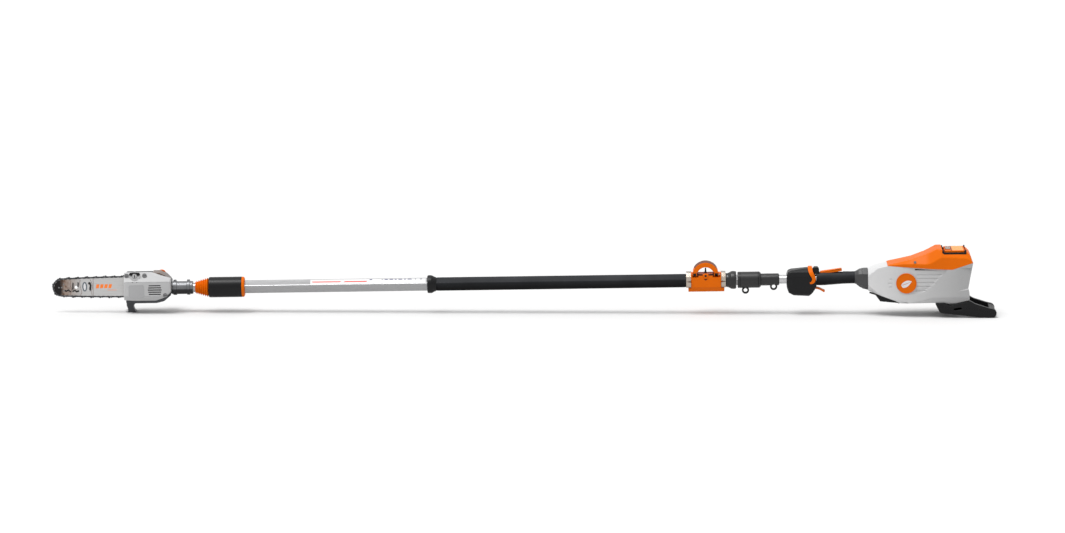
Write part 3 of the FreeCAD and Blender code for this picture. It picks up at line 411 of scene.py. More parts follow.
def stand_carved(obj, tools, node, width=0, segments=2, angle=32, material=None):
    """Stands for the CAD node with tools cut away and its edges rounded."""
    return stand_for(soften(carved(obj, tools), width, segments, angle), node, material)


def trim(obj, width, body, slot, material=None):
    """Rounds and dresses a small piece that replaces no node."""
    return dress(soften(obj, width), body, slot, material)


def black_trim(obj, width, body="outer_pole"):
    return trim(obj, width, body, "black_plastic")


def cad_copy(node):
    """The CAD node's mesh in the pole's frame."""
    mesh = frame["nodes"][node].data.copy()
    mesh.transform(POLE.inverted())
    with edited(mesh) as work:
        bmesh.ops.remove_doubles(work, verts=work.verts, dist=0.002 * MM)
    return flattened(placed(node + "_shell", mesh))


def flattened(obj):
    """Joins the triangles of flat regions."""
    with edited(obj.data) as work:
        bmesh.ops.dissolve_limit(work, angle_limit=math.radians(0.4), verts=work.verts, edges=work.edges)
    return obj


def refined(node, width, material=None):
    """Stands for the CAD node with its edges rounded."""
    return stand_for(soften(cad_copy(node), width), node, material)


def skin(name, rings):
    """Closed skin over rows of points in millimetres, with flat ends."""
    count = len(rings[0])
    last = (len(rings) - 1) * count
    faces = []
    for start in range(0, last, count):
        following = start + count
        for i in range(count):
            j = (i + 1) % count
            faces.append((start + i, start + j, following + j, following + i))
    faces += [tuple(range(count)), tuple(range(last, last + count))]
    mesh = bpy.data.meshes.new(name)
    mesh.from_pydata([Vector(point) * MM for ring in rings for point in ring], [], faces)
    with edited(mesh) as work:
        bmesh.ops.recalc_face_normals(work, faces=work.faces)
    return placed(name, mesh)


def prism_xz(name, outline, y0, y1):
    return skin(name, [[(x, y, z) for x, z in outline] for y in (y0, y1)])


def block(name, x0, x1, y0, y1, z0, z1):
    return prism_xz(name, [(x0, z0), (x1, z0), (x1, z1), (x0, z1)], y0, y1)


def circle(radius, sides=64):
    turns = [2 * math.pi * i / sides for i in range(sides)]
    return [(radius * math.cos(a), radius * math.sin(a)) for a in turns]


def lathe(name, profile, sides=96, lift=None):
    """Turned about the pole's axis from (x, radius) points; lift(x) moves the centre up."""
    rings = []
    for x, radius in profile:
        z0 = lift(x) if lift else 0
        rings.append([(x, y, z + z0) for y, z in circle(radius, sides)])
    return skin(name, rings)


def bore(x0, x1, radius, sides=48):
    return lathe("bore", [(x0, radius), (x1, radius)], sides)


def rod(name, x0, x1, radius, y, z, sides=40):
    return skin(name, [[(x, y + a, z + b) for a, b in circle(radius, sides)] for x in (x0, x1)])


def lathe_y(name, x, z, profile, sides=64):
    """Turned about a line along y through (x, z), from (y, radius) points."""
    return skin(name, [[(x + a, y, z + b) for a, b in circle(radius, sides)] for y, radius in profile])


def curved(points, steps=6):
    """Smooth run through the points."""
    points = [Vector(point) for point in points]
    padded = [2 * points[0] - points[1]] + points + [2 * points[-1] - points[-2]]
    result = []
    for before, start, end, after in zip(padded, padded[1:], padded[2:], padded[3:]):
        for step in range(steps):
            t = step / steps
            result.append(0.5 * (2 * start + (end - before) * t
                                 + (2 * before - 5 * start + 4 * end - after) * t ** 2
                                 + (3 * start - before - 3 * end + after) * t ** 3))
    return result + [points[-1]]


def mixed_at(table, x):
    """Straight-line reading of a table of (x, value) rows."""
    for (x0, v0), (x1, v1) in zip(table, table[1:]):
        if x <= x1:
            return v0 + (v1 - v0) * max(0.0, (x - x0) / (x1 - x0))
    return table[-1][1]


def rounded_square(side, corner, steps=6):
    """Points of a rounded square turned like the poles."""
    inner = side / 2 - corner
    points = []
    for quarter in range(4):
        middle = math.pi / 4 + quarter * math.pi / 2
        cy = inner * math.copysign(1, math.cos(middle))
        cz = inner * math.copysign(1, math.sin(middle))
        for step in range(steps + 1):
            a = quarter * math.pi / 2 + step / steps * math.pi / 2
            points.append((cy + corner * math.cos(a), cz + corner * math.sin(a)))
    cos, sin = math.cos(TUBE_TWIST), math.sin(TUBE_TWIST)
    return [(y * cos - z * sin, y * sin + z * cos) for y, z in points]


def square_bore(x0, x1, side=28.6, corner=4):
    return skin("bore", [[(x, y, z) for y, z in rounded_square(side, corner)] for x in (x0, x1)])


def carved(obj, tools, operation="DIFFERENCE"):
    for tool in tools:
        change = obj.modifiers.new("change", "BOOLEAN")
        change.operation = operation
        change.object = tool
        change.solver = "EXACT"
    settle(obj)
    for tool in tools:
        bpy.data.objects.remove(tool)
    return flattened(obj)


def joined(parts):
    return carved(parts[0], parts[1:], "UNION")


def rounded_outline(points, radius, steps=5):
    """Closed outline with its corners turned into short curves."""
    points = [Vector(point) for point in points]
    result = []
    for before, corner, after in zip(points[-1:] + points[:-1], points, points[1:] + points[:1]):
        start = corner + (before - corner).normalized() * min(radius, 0.45 * (before - corner).length)
        end = corner + (after - corner).normalized() * min(radius, 0.45 * (after - corner).length)
        for step in range(steps + 1):
            t = step / steps
            result.append(tuple(start * (1 - t) ** 2 + corner * 2 * t * (1 - t) + end * t ** 2))
    return result


def capsule(name, path, radius, sides=12):
    """Round tool along a path, tapered to its ends."""
    rings = []
    last = len(path) - 1
    for i, point in enumerate(path):
        size = 0.25 if i in (0, last) else 1.0
        rings.append([(point[0], point[1] + a * size, point[2] + b * size) for a, b in circle(radius, sides)])
    return skin(name, rings)


def band_outline(centres, widths):
    """Outline round a bent strip in x and z."""
    left, right = [], []
    for i, (x, z) in enumerate(centres):
        before = centres[max(0, i - 1)]
        after = centres[min(len(centres) - 1, i + 1)]
        run = (Vector(after) - Vector(before)).normalized()
        half = widths[i] / 2
        left.append((x - run.y * half, z + run.x * half))
        right.append((x + run.y * half, z - run.x * half))
    return left + right[::-1]


def even_band(path, width):
    """Outline of a smooth strip of one width."""
    centres = curved(path, 5)
    return band_outline(centres, [width] * len(centres))


def span(side, near, far):
    """The two y of a piece between near and far on one side."""
    return sorted((side * near, side * far))


def ribbon(name, rows, thickness):
    """Strip along rows of (x, y, z, width, normal y, normal z)."""
    rows = curved(rows, 6)
    rings = []
    for i, row in enumerate(rows):
        here = Vector(row[:3])
        run = Vector(rows[min(len(rows) - 1, i + 1)][:3]) - Vector(rows[max(0, i - 1)][:3])
        out = Vector((0, row[4], row[5])).normalized()
        across = run.cross(out).normalized() * row[3] / 2
        out *= thickness / 2
        rings.append([here - across - out, here + across - out, here + across + out, here - across + out])
    return skin(name, rings)


def arc_points(x, z, radius_x, radius_z, start, end, steps):
    turns = [math.radians(start + (end - start) * i / steps) for i in range(steps + 1)]
    return [(x + radius_x * math.cos(a), z + radius_z * math.sin(a)) for a in turns]


def arch(x, z, outer, inner, start, end, steps):
    """Closed band between two arcs, from one angle in degrees to another."""
    far = arc_points(x, z, outer, outer, start, end, steps[0])
    return far + arc_points(x, z, inner, inner, end, start, steps[1])


# ---- saw end

BAR_FACE = 1.66
BAR_Y = -22.0
PRINT_LIFT = {"white": 0.02, "orange": 0.01}
BAR_BLOTS = (
    [(105, 17), (108, 24.5), (113, 23), (116, 14), (114.5, 2), (111, -4), (108.5, 4), (110.5, 14), (108, 18)],
    [(59.5, 2), (61.5, 24), (64.5, 21), (63.5, 3)],
    [(75, 10.5), (76, 25), (79.5, 22), (78.5, 9)],
    [(38, 3), (43, 0.5), (49, 4), (56, -2), (57, -6), (49, -1), (42, -4.5), (38.5, -2)],
    [(60, -1), (68, 3), (72, -1), (79, 1), (80, -4), (72, -6), (67, -2), (61, -5)],
)
BAR_STREAKS = (
    (0.8, [(112, 32), (116, 22), (118.5, 9), (114.5, -5), (117, -15)]),
    (0.9, [(84, 31), (81.5, 20), (84.5, 6), (87, -6), (83, -14)]),
    (0.9, [(57, 28), (54.5, 16), (58, 4), (55, -11)]),
)


def bar_shapes():
    """Plain shapes printed on the bar, as (colour, outline)."""
    ring = arc_points(96, 10.5, 7, 14, 0, 360, 32)
    inner = arc_points(96, 10.5, 3.6, 10, 0, 360, 32)
    shapes = [("slate", ring[:-1]), ("white", inner[:-1])]
    shapes += [("black", outline) for outline in BAR_BLOTS]
    for x in (127.5, 139.5, 151.5, 163.5):
        shapes.append(("orange", [(x, 5.5), (x + 8.6, 5.5), (x + 11, 17), (x + 2.4, 17)]))
    shapes.append(("orange", [(161, -0.4), (187, -0.4), (187.6, 0.7), (161.3, 0.7)]))
    shapes.append(("brown", [(119, -15.5), (120, -15.5), (121.2, 33), (120.2, 33)]))
    return shapes + [("brown", even_band(path, width)) for width, path in BAR_STREAKS]


def bar_marks():
    """Prints the shapes on both faces of the bar."""
    for side, letter in SIDES:
        for index, (colour, outline) in enumerate(bar_shapes()):
            depth = 0.1 + PRINT_LIFT.get(colour, 0)
            y0 = BAR_Y + side * (BAR_FACE - 0.2)
            y1 = BAR_Y + side * (BAR_FACE + depth)
            mark = prism_xz("bar_mark_%d_%s" % (index, letter), outline, y0, y1)
            dress(mark, "outer_pole", "bar_steel", PRINT[colour])


def nose_rivets():
    half = [(1.95, 1.6), (1.8, 2.1)]
    profile = [(BAR_Y - y, radius) for y, radius in half] + [(BAR_Y + y, radius) for y, radius in half[::-1]]
    for x, z in ((22, 9), (30, 9), (36, 18), (36, 0)):
        rivet = lathe_y("nose_rivet_%d_%d" % (x, z), x, z, profile, 24)
        trim(rivet, 0, "outer_pole", "steel")


WHEEL_X = 241.0
WHEEL_Z = 41.0
RECESS_Y = (-36.2, -33.7)
SCREW_SEATS = ((217.5, 41.5, -33.2), (269, 41.5, -33.2), (328, -15, -40.2))


def sprocket_cover():
    panel = [(223.5, -17), (223.5, 12), (227, 15.5), (265, 15.5), (268.5, 12), (268.5, -17), (265, -21),
             (227, -21)]
    tools = [prism_xz("panel", panel, -43, -41.2), block("groove", 206, 346, -43, -41.5, 23.4, 24.6)]
    stand_carved(cad_copy("sprocket_cover"), tools, "sprocket_cover", 0.35, 2, 40)
    trim(prism_xz("cover_panel", panel, -41.6, -41.15), 0.2, "outer_pole", "grey_plastic", SHADE_GREY)


def tension_wheel():
    """Notched wheel with a slotted dome, between a dark crescent and a lower lip; the crescent and the slot's
    black fill are painted shade.
    """
    x, z = WHEEL_X, WHEEL_Z
    # Painted shade: a black crescent stands for the shadow in the recess above the wheel.
    crescent = [(a, min(b, 51.0)) for a, b in arch(x, z, 16.6, 7.2, 8, 172, (30, 24))]
    black_trim(prism_xz("wheel_shade", crescent, *RECESS_Y), 0.3)
    lip = arch(x, z, 14.6, 7.2, 184, 356, (30, 24))
    trim(prism_xz("wheel_lip", lip, *RECESS_Y), 0.4, "outer_pole", "grey_plastic")
    profile = [(-37.0, 1.5), (-36.9, 3.6), (-36.4, 5.4), (-35.4, 6.5), (-34.2, 6.9), (-33.4, 7.0),
               (-33.3, 12.7), (-33.0, 13), (-31.4, 13)]
    wheel = lathe_y("tension_wheel_dome", x, z, profile)
    tools = [block("slot", x - 1.1, x + 1.1, -39, -35.2, z - 4.8, z + 4.8)]
    tools += [lathe_y("notch", x + a, z + b, [(-40, 0.9), (-30, 0.9)], 10) for a, b in circle(7.0, 18)]
    stand_carved(wheel, tools, "tension_wheel", 0.25)
    # A black block at the back of the slot: painted shade for the shadow in it.
    mark = block("wheel_slot_shade", x - 1.0, x + 1.0, -36.6, -35.1, z - 4.7, z + 4.7)
    black_trim(mark, 0.1, "tension_wheel")


def gear_head():
    for side, letter in SIDES:
        head = [(WHEEL_X + side * 4, 24.9), (WHEEL_X + side * 4, 22.7), (WHEEL_X + side * 9, 23.8)]
        dress(prism_xz("turn_arrow_" + letter, head, -41.8, -40.5), "outer_pole", "black_plastic")
    for index, (x, z, face) in enumerate(SCREW_SEATS):
        washer = arc_points(x, z, 6.4, 6.4, 0, 360, 40)[:-1]
        black_trim(prism_xz("screw_seat_%d" % index, washer, face, face + 3), 0.3)
    # A black plate behind the louvres: painted shade, so the openings read dark.
    black_trim(block("louvre_shade", 276, 320, -38.6, -37.6, -15, 17), 0.3)
    refined("gear_head_screws", 0.4)
    refined("gear_housing", 0.5)
    refined("branch_hook", 0.4)
    refined("oil_tank", 0.6)
    refined("oil_cap", 0.6)


def shaft_rings():
    refined("shaft_fitting", 0.5, FITTING)
    profile = [(-8.2, 1.6), (-8.0, 2.3), (-5.5, 2.5), (4.4, 2.5), (4.8, 1.8)]
    for index, x in enumerate((353.5, 392.2)):
        lug = block("ring_lug_%d" % index, x - 3.8, x + 3.8, -6, 4, 17, 23.2)
        trim(lug, 0.8, "outer_pole", "cast_metal", FITTING)
        screw = lathe_y("ring_screw_%d" % index, x, 20.6, profile, 24)
        trim(screw, 0.2, "outer_pole", "steel")


def rubber_boot():
    """Six folds that widen towards the sleeve."""
    profile = [(411.5, 14.5), (411.9, 16.4)]
    for fold in range(6):
        x = 412.6 + 6.1 * fold
        crest = 18.2 + 1.7 * fold
        profile += curved([(x, crest - 3.4), (x + 1.3, crest - 2.6), (x + 2.5, crest + 0.5),
                           (x + 3.6, crest + 0.6), (x + 5.0, crest - 2.4)], 4)
    profile += [(449.2, 23.2), (450, 23.0)]
    stand_carved(lathe("boot", profile), [bore(410, 452, NECK_BORE)], "rubber_boot")


def sleeve():
    edge = curved([(450.6, 27.6), (452.2, 28.9), (454.5, 29.25)], 4)
    profile = [(450, 26.6)] + edge + [(497, 29.3), (543.8, 29.25), (545, 28.9)]
    tools = [bore(449, 470, NECK_BORE), square_bore(469.9, 546)]
    stand_carved(lathe("sleeve", profile), tools, "pole_sleeve", 0.2)
    profile = [(545, 27.4)] + curved([(545.4, 28.6), (547, 29.2), (549.5, 28.9), (552, 27.4), (553.4, 25)], 4)
    stand_carved(lathe("ring", profile), [square_bore(540, 556)], "sleeve_ring")


# ---- poles and clamp

TUBE_OUT = Vector((0, -math.sin(TUBE_TWIST), math.cos(TUBE_TWIST)))
TUBE_ACROSS = Vector((0, math.cos(TUBE_TWIST), math.sin(TUBE_TWIST)))
LABEL_MARKS = ((911, 9), (946, 5), (954, 11), (968, 12), (983, 7), (994, 12), (1010, 6), (1020, 13),
               (1041, 5), (1055, 8))


def tube_mark(name, outline, colour, lift):
    """Thin print on the pole's upper face; the outline is in x and the distance across the face."""
    rings = [[(x, *(TUBE_ACROSS * s + TUBE_OUT * height)[1:]) for x, s in outline]
             for height in (TUBE_HALF - 0.2, TUBE_HALF + lift)]
    dress(skin(name, rings), "outer_pole", "aluminium", PRINT[colour])


def pole_label():
    """Plain strokes on a white band."""
    tube_mark("pole_label", [(742, -9.4), (1073, -9.4), (1073, 9.4), (742, 9.4)], "white", 0.06)
    tube_mark("label_stripe_a", [(749, -2.6), (826, -2.6), (832, 1.6), (746, 1.6)], "red", 0.12)
    tube_mark("label_stripe_b", [(836, -2.6), (903, -2.6), (905, 1.6), (842, 1.6)], "red", 0.12)
    for index, (x, length) in enumerate(LABEL_MARKS):
        outline = [(x, 5.2), (x + length, 5.2), (x + length - 1.5, 8.4), (x + 1.5, 8.4)]
        tube_mark("label_mark_%d" % index, outline, "slate" if index in (1, 8, 9) else "blue", 0.12)


def grip_hose():
    """Soft square hose, slightly wavy along its length."""
    last = 120
    rings = []
    for step in range(last + 1):
        x = 1102.5 + 715.5 * step / last
        side = 31.0 + 0.14 * math.sin(x / 17.0) + 0.12 * math.sin(x / 41.0 + 1)
        side -= 0.9 * (step in (0, last))
        rings.append([(x, y, z) for y, z in rounded_square(side, 6.5)])
    stand_carved(skin("hose", rings), [square_bore(1100, 1820)], "grip_hose")


def collars():
    front = curved([(1077.4, 23.8), (1078.8, 25.2), (1081, 25.7), (1088, 25.7), (1090.5, 25.2), (1096, 22.2),
                    (1101.6, 20.0)], 4)
    front = lathe("collar", [(1077, 22.6)] + front + [(1102.5, 19.2)])
    stand_carved(front, [square_bore(1070, 1110)], "front_collar")
    rear = curved([(1931.8, 19.7), (1937, 20.4), (1942, 22.6), (1946.5, 25.1), (1950, 25.7), (1956, 25.7),
                   (1959.5, 25.0)], 4)
    rear = lathe("collar", [(1931, 19.0)] + rear + [(1961, 23.4)])
    tools = [square_bore(1925, 1950), square_bore(1940, 1970, 24.6, 3)]
    stand_carved(rear, tools, "rear_collar", material=GLOSS_BLACK)


def poles():
    for node in ("outer_tube", "neck_tube", "pole_slider", "pole_guide_bush"):
        refined(node, 0.25)
    pole_label()
    grip_hose()
    collars()


CLAMP_X = 1873.5
LEVER_Z = 16.5
BOSS_Z = 17
PIN_Y = -18
PIN_Z = 19.5
PIN_HOLE = 2.06
LEG_OFFSET = 31.1


def clamp_front():
    """The clamp's body and the parts on its front face."""
    tools = [block("gap", *sorted((CLAMP_X + side * 8.3, CLAMP_X + side * 24.5)), -27, -20.5, 17.2, 22.6)
             for side, letter in SIDES]
    stand_carved(cad_copy("clamp_body"), tools, "clamp_body", 0.6, 2, 40)
    # Black sheets at the back of the two gaps: painted shade for the shadow inside them.
    for side, letter in SIDES:
        x = CLAMP_X + side * 16.4
        dark_sheet = block("clamp_gap_shade_" + letter, x - 8, x + 8, -21.4, -19.6, 17.3, 21.6)
        black_trim(dark_sheet, 0.4)
    right = [(4, 23.2), (2.6, 30), (1.9, 39.6)]
    spike = [(CLAMP_X - 4, 23.2)] + [(CLAMP_X + a, z) for a, z in right]
    spike += [(CLAMP_X - a, z) for a, z in right[:0:-1]]
    black_trim(prism_xz("clamp_bolt", spike, -19.6, -16.4), 0.6)
    boss = [(-26.3, 3.6), (-26.4, 4.2), (-26.2, 6.4), (-25.6, 7.0), (-23, 7.2)]
    trim(lathe_y("clamp_boss", CLAMP_X, BOSS_Z, boss, 40), 0, "outer_pole", "orange_plastic")
    bolt = [(-26.6, 1.6), (-26.6, 3.0), (-26.2, 3.4), (-22, 3.4)]
    black_trim(lathe_y("clamp_boss_bolt", CLAMP_X, BOSS_Z, bolt, 24), 0)
    arrow = [(CLAMP_X - 5.4, 7.6), (CLAMP_X + 5.4, 7.6), (CLAMP_X, 3.6)]
    dress(prism_xz("clamp_arrow", arrow, -24.25, -23.5), "outer_pole", "black_plastic")


def clamp_lever():
    """Arched lever on two legs with knuckles round the hinge pins."""
    outline = arc_points(CLAMP_X, LEVER_Z, 37.5, 37.5, 16.3, 163.7, 60)
    outline += arc_points(CLAMP_X, LEVER_Z, 24.5, 24.5, 154.6, 25.4, 44)
    parts = [prism_xz("lever", outline, -22, 22)]
    tools = [rod("bore", CLAMP_X - 45, CLAMP_X + 45, PIN_HOLE, PIN_Y, PIN_Z)]
    leg = [(-6.2, 15.2), (6.2, 15.2), (5.6, 24), (3.9, 29.5), (-5.2, 29.5), (-6.2, 24)]
    for side, letter in SIDES:
        x = CLAMP_X + side * LEG_OFFSET
        parts.append(prism_xz("leg", [(x + side * a, b) for a, b in leg], -21.9, -14))
        parts.append(rod("knuckle", x - 6.1, x + 6.1, 4.5, PIN_Y, PIN_Z))
        tools.append(block("pocket", x - 4.4, x + 4.4, -24, -20.6, 15.4, 23.8))
    lever = round_chosen(joined(parts), 1.2, lambda at, *normals: at.z > 27.5, 3, 0.5)
    stand_carved(lever, tools, "clamp_lever", 0.3, 2, 50)
    for side, letter in SIDES:
        x = CLAMP_X + side * LEG_OFFSET
        dark_sheet = block("lever_pocket_" + letter, x - 4.3, x + 4.3, -21.0, -20.2, 15.5, 23.7)
        black_trim(dark_sheet, 0.2, "clamp_lever")
    # A dark brown band along the arch's top: painted shade for the shaded inner face of the lever's far side.
    rim = arch(CLAMP_X, LEVER_Z, 38.1, 35.6, 32, 148, (40, 40))
    trim(prism_xz("lever_shade_band", rim, -19.5, 19.5), 0.3, "clamp_lever", "orange_plastic", PRINT["brown"])


def clamp():
    clamp_front()
    clamp_lever()
    refined("clamp_end_plates", 0.6)
    refined("clamp_pins", 0.25)


# ---- handle

BELL_CORNERS = (31.4, 63.8, 116.2, 148.6, 211.4, 243.8, 296.2, 328.6)
BELL_STATIONS = ((2299.5, 17.6, 2.7, 0.0), (2303, 19.4, 2.6, 0.2), (2307.5, 23.2, 2.0, 0.7),
                 (2313, 27.4, 1.4, 1.0), (2319.6, 29.4, 0.4, 1.0), (2320.6, 30.8, 0.2, 1.0),
                 (2336.6, 33.2, -1.6, 1.0))
EYELETS = ((1987.4, -29.6), (2068.0, -20.2))
GRIP_LIFT = [(2190, 1.0), (2215, 1.4), (2240, 2.0), (2265, 2.7), (2299.5, 2.8)]
LATCH_ROWS = [(2172, 11, 35.0, 12, 0.1, 1), (2172, -2, 35.4, 12.5, 0, 1), (2172, -12, 34.8, 12.5, -0.25, 1),
              (2172.2, -21.5, 31, 12.5, -0.6, 0.8), (2173.6, -28.6, 25, 12, -0.9, 0.4),
              (2176.8, -32.0, 18, 11.4, -1, 0.1), (2180.8, -32.2, 11, 10.8, -1, 0),
              (2182.3, -32.2, 4, 10, -1, 0), (2180.2, -32.2, -2.4, 9, -1, 0),
              (2175.6, -32.2, -6.2, 6.6, -1, 0), (2170.6, -32.2, -7.6, 3.4, -1, 0)]


def eyelet(x, z):
    ring, hole = ([(x + a, z + b) for a, b in circle(radius, 64)] for radius in (7.45, 5.5))
    return carved(prism_xz("eyelet", ring, -4.2, 4.2), [prism_xz("hole", hole, -6, 6)])


def strap_bushes():
    refined("inner_tube", 0.25)
    refined("handle_tube", 0.25, BRIGHT_TUBE)
    for node in ("strap_bush_front", "strap_bush_rear"):
        refined(node, 0.7, GLOSS_BLACK)
    inserts = joined([eyelet(x, z) for x, z in EYELETS])
    stand_for(soften(inserts, 0.5, 3, 50), "eyelet_inserts", MATERIALS["black_plastic"])
    radius = 23.5
    for index, x in enumerate((1972, 2024)):
        edge = [(x - 1.2, radius - 0.4), (x - 0.8, radius), (x + 0.8, radius), (x + 1.2, radius - 0.4)]
        rib = carved(lathe("bush_rib_%d" % index, edge), [bore(x - 3, x + 3, 22.6, 72)])
        black_trim(rib, 0, "drive_unit")


def grip_sleeve():
    profile = curved([(2190.4, 19.3), (2200, 19.7), (2215, 19.8), (2240, 18.8), (2265, 17.9), (2285, 17.5),
                      (2299.4, 17.6)], 6)
    grip = lathe("grip", profile, 96, lambda x: mixed_at(GRIP_LIFT, x))
    tools = [block("slot", 2189, 2266, -9, 9, 13.4, 40), block("slot", 2189, 2198.4, -12.4, 12.4, 14, 40)]
    tools.append(bore(2180, 2310, HANDLE_BORE))
    stand_carved(grip, tools, "grip_sleeve", 0.5, 2, 40)


def hand_levers():
    """Lockout lever, trigger and retaining latch."""
    lever = [(2199.6, 15.0), (2199.8, 19.6), (2203, 22.6), (2230, 26.0), (2260.5, 30.0), (2262.8, 29.2),
             (2263.2, 22.6), (2240, 19.4), (2222, 16.6)]
    lever = round_chosen(prism_xz("lockout", lever, -8.5, 8.5), 1.4, lambda at, *normals: at.z > 17)
    stand_for(soften(lever, 0.3, 2, 40), "lockout_lever")
    centres = curved([(2179, -26.5), (2188, -25.4), (2197, -27.4), (2206, -31.8), (2213.6, -36.0)], 6)
    widths = [5.4 - 1.2 * math.sin(math.pi * i / (len(centres) - 1)) for i in range(len(centres))]
    blade = prism_xz("blade", band_outline(centres, widths), -9.6, 9.6)
    stand_for(soften(round_chosen(blade, 1.5, lambda at, *normals: True), 0, 2), "trigger")
    latch = round_chosen(ribbon("latch", LATCH_ROWS, 2.8), 0.9, lambda at, *normals: True)
    stand_for(soften(latch, 0), "retaining_latch")


def bell_ring(x, radius, centre, share):
    """Ring that goes from round to eight-sided as share goes from 0 to 1."""
    ring = []
    for start, end in zip(BELL_CORNERS, BELL_CORNERS[1:] + (BELL_CORNERS[0] + 360,)):
        half = math.radians(end - start) / 2
        for step in range(8):
            a = math.radians(start) + 2 * half * step / 8
            flat = math.cos(half) / math.cos(a - math.radians(start) - half)
            r = radius * ((1 - share) + share * flat)
            ring.append((x, r * math.cos(a), centre + r * math.sin(a)))
    return ring


def handle():
    for node in ("shroud_left", "shroud_right"):
        refined(node, 0.5)
    grip_sleeve()
    hand_levers()
    rings = [bell_ring(*station) for station in BELL_STATIONS]
    stand_carved(skin("bell", rings), [bore(2290, 2350, HANDLE_BORE)], "bell_coupling", 0.5, 2, 24, BELL_GREY)


# ---- drive housing

WALL = [(2337, 32), (2392, 42), (2450, 51), (2520, 57), (2640, 57)]
SPLIT = [(2392, 41.5), (2416, 39.5), (2513, 33), (2576, 30), (2635, 49)]
RIDGE = [(2402, -50), (2412, -47.4), (2430, -44.8), (2450, -42), (2470, -39.2), (2488, -35.4), (2503, -27),
         (2517, -16.6), (2530, -2), (2543, 11.6), (2556, 22), (2562, 34), (2568, 60)]
LONG_GROOVES = ((2468, 2548, 14.9), (2470, 2539, 3.8), (2470, 2530, -7.8), (2469, 2519, -19),
                (2463, 2503, -29.6))
SHORT_GROOVES = ((2391, 2412, 2.3), (2388, 2411, -9.4), (2391, 2412, -20.5))
GROOVE_RADIUS = 2.7
GROOVE_STANDOFF = 1.2
GROOVE_RUNOUT = 1.3
LINING_DEPTHS = (6.4, 2.0)
LINING_Z = (-47, 29)
WALL_BEND = 2520
CLEAR = 75
HOUSING_MID = Vector((2500, 0, -15))


def sunk(x):
    """Depth of the grooved field, which starts shallow and deepens rearward."""
    share = min(1.0, max(0.0, (x - 2405) / 75))
    return 3.3 * share * share * (3 - 2 * share) - 0.3


def upper_field(side):
    """Tool that sinks the side's grooved field above the bent ridge, which is left as a sloping ledge."""
    rings = []
    for x, z in [tuple(point) for point in curved(RIDGE, 4)]:
        wall = mixed_at(WALL, x)
        inner = wall - sunk(x)
        section = [(inner, CLEAR), (inner, z + 5.0), (wall + 0.4, z - 3.4), (CLEAR, z - 3.4), (CLEAR, CLEAR)]
        rings.append([(x, side * y, height) for y, height in section])
    return skin("field", rings)


def lining(side):
    """Thickens the wall from inside where the field and its grooves are cut."""
    rings = []
    low, high = LINING_Z
    for x in (2440, 2450, 2470, 2495, WALL_BEND, 2566):
        near, far = (side * (mixed_at(WALL, x) - depth) for depth in LINING_DEPTHS)
        rings.append([(x, near, low), (x, near, high), (x, far, high), (x, far, low)])
    return skin("lining", rings)


def groove_tools(side):
    """Round cutters that follow the wall and run out of it at both ends."""
    tools = []
    for x0, x1, z in LONG_GROOVES + SHORT_GROOVES:
        stations = [x0, x0 + 7, x1 - 9, x1]
        if x0 < WALL_BEND < x1 - 9:
            stations.insert(2, WALL_BEND)
        path = []
        for x in stations:
            out = GROOVE_STANDOFF + GROOVE_RUNOUT * (x in (x0, x1)) - max(0.0, sunk(x))
            path.append((x, side * (mixed_at(WALL, x) + out), z))
        tools.append(capsule("groove", path, GROOVE_RADIUS))
    return tools


def rear_dent(side):
    """Tool for the hollow at the rear of the side, deepest at the rear edge."""
    front = [(2590, 57.6, 36), (2586, 57.6, -34), (2586, 70, -34), (2590, 70, 36)]
    rear = [(2640, 52.4, 32), (2636, 52.4, -20), (2636, 70, -40), (2640, 70, 40)]
    return skin("dent", [[(x, side * y, z) for x, y, z in ring] for ring in (front, rear)])


def outer_edge(at, first, second):
    """Picks the housing's outer edges below the split, clear of its front opening and the middle seam."""
    away = at - HOUSING_MID
    outward = first.dot(away) > 0 and second.dot(away) > 0
    return outward and at.z < mixed_at(SPLIT, at.x) - 2.5 and abs(at.y) > 3 and at.x > 2340


def drive_shells():
    behind_dent = [(2590, -38), (2616, -38), (2629.2, 32), (2590, 32)]
    for node, side in (("housing_left", -1), ("housing_right", 1)):
        shell = round_chosen(cad_copy(node), 2.6, outer_edge)
        backing = prism_xz("backing", behind_dent, *span(side, 48, 54.6))
        shell = joined([shell, backing, lining(side)])
        tools = [upper_field(side), rear_dent(side)] + groove_tools(side)
        stand_carved(shell, tools, node, 0.35, 2, 40, HOUSING_GREY)


# Top cover: x, then y and z of the shoulder line, y and z of the top's edge, z of the top's middle.
COVER_STATIONS = ((2392.3, 42.5, 41.9, 38, 42.4, 42.6), (2398, 42.8, 43.4, 37, 44.7, 45),
                  (2416, 45.6, 45.6, 36, 48.4, 48.9), (2439, 49.1, 47.8, 36, 53.3, 54.2),
                  (2461, 51.8, 47.3, 36.5, 58, 59.2), (2499, 55.1, 45.8, 38, 71.4, 73),
                  (2513, 56.3, 48, 39.5, 78, 79.8), (2532, 56.9, 59, 42, 87.6, 89.6),
                  (2545, 56.9, 65.5, 46, 87, 88.8), (2576, 56.9, 64.5, 46.5, 84.2, 85.6),
                  (2617, 56.9, 62, 46, 80.2, 81.4), (2627.5, 56.6, 57.4, 45, 70.4, 71.2),
                  (2634.6, 56, 50, 44, 50.4, 50.6))


def cover_ring(x, line_y, line_z, edge_y, edge_z, top):
    half = [(-min(57.0, mixed_at(WALL, x)), mixed_at(SPLIT, x)), (-line_y, line_z), (-edge_y, edge_z)]
    return [(x, y, z) for y, z in half + [(0, top)] + [(-y, z) for y, z in reversed(half)]]


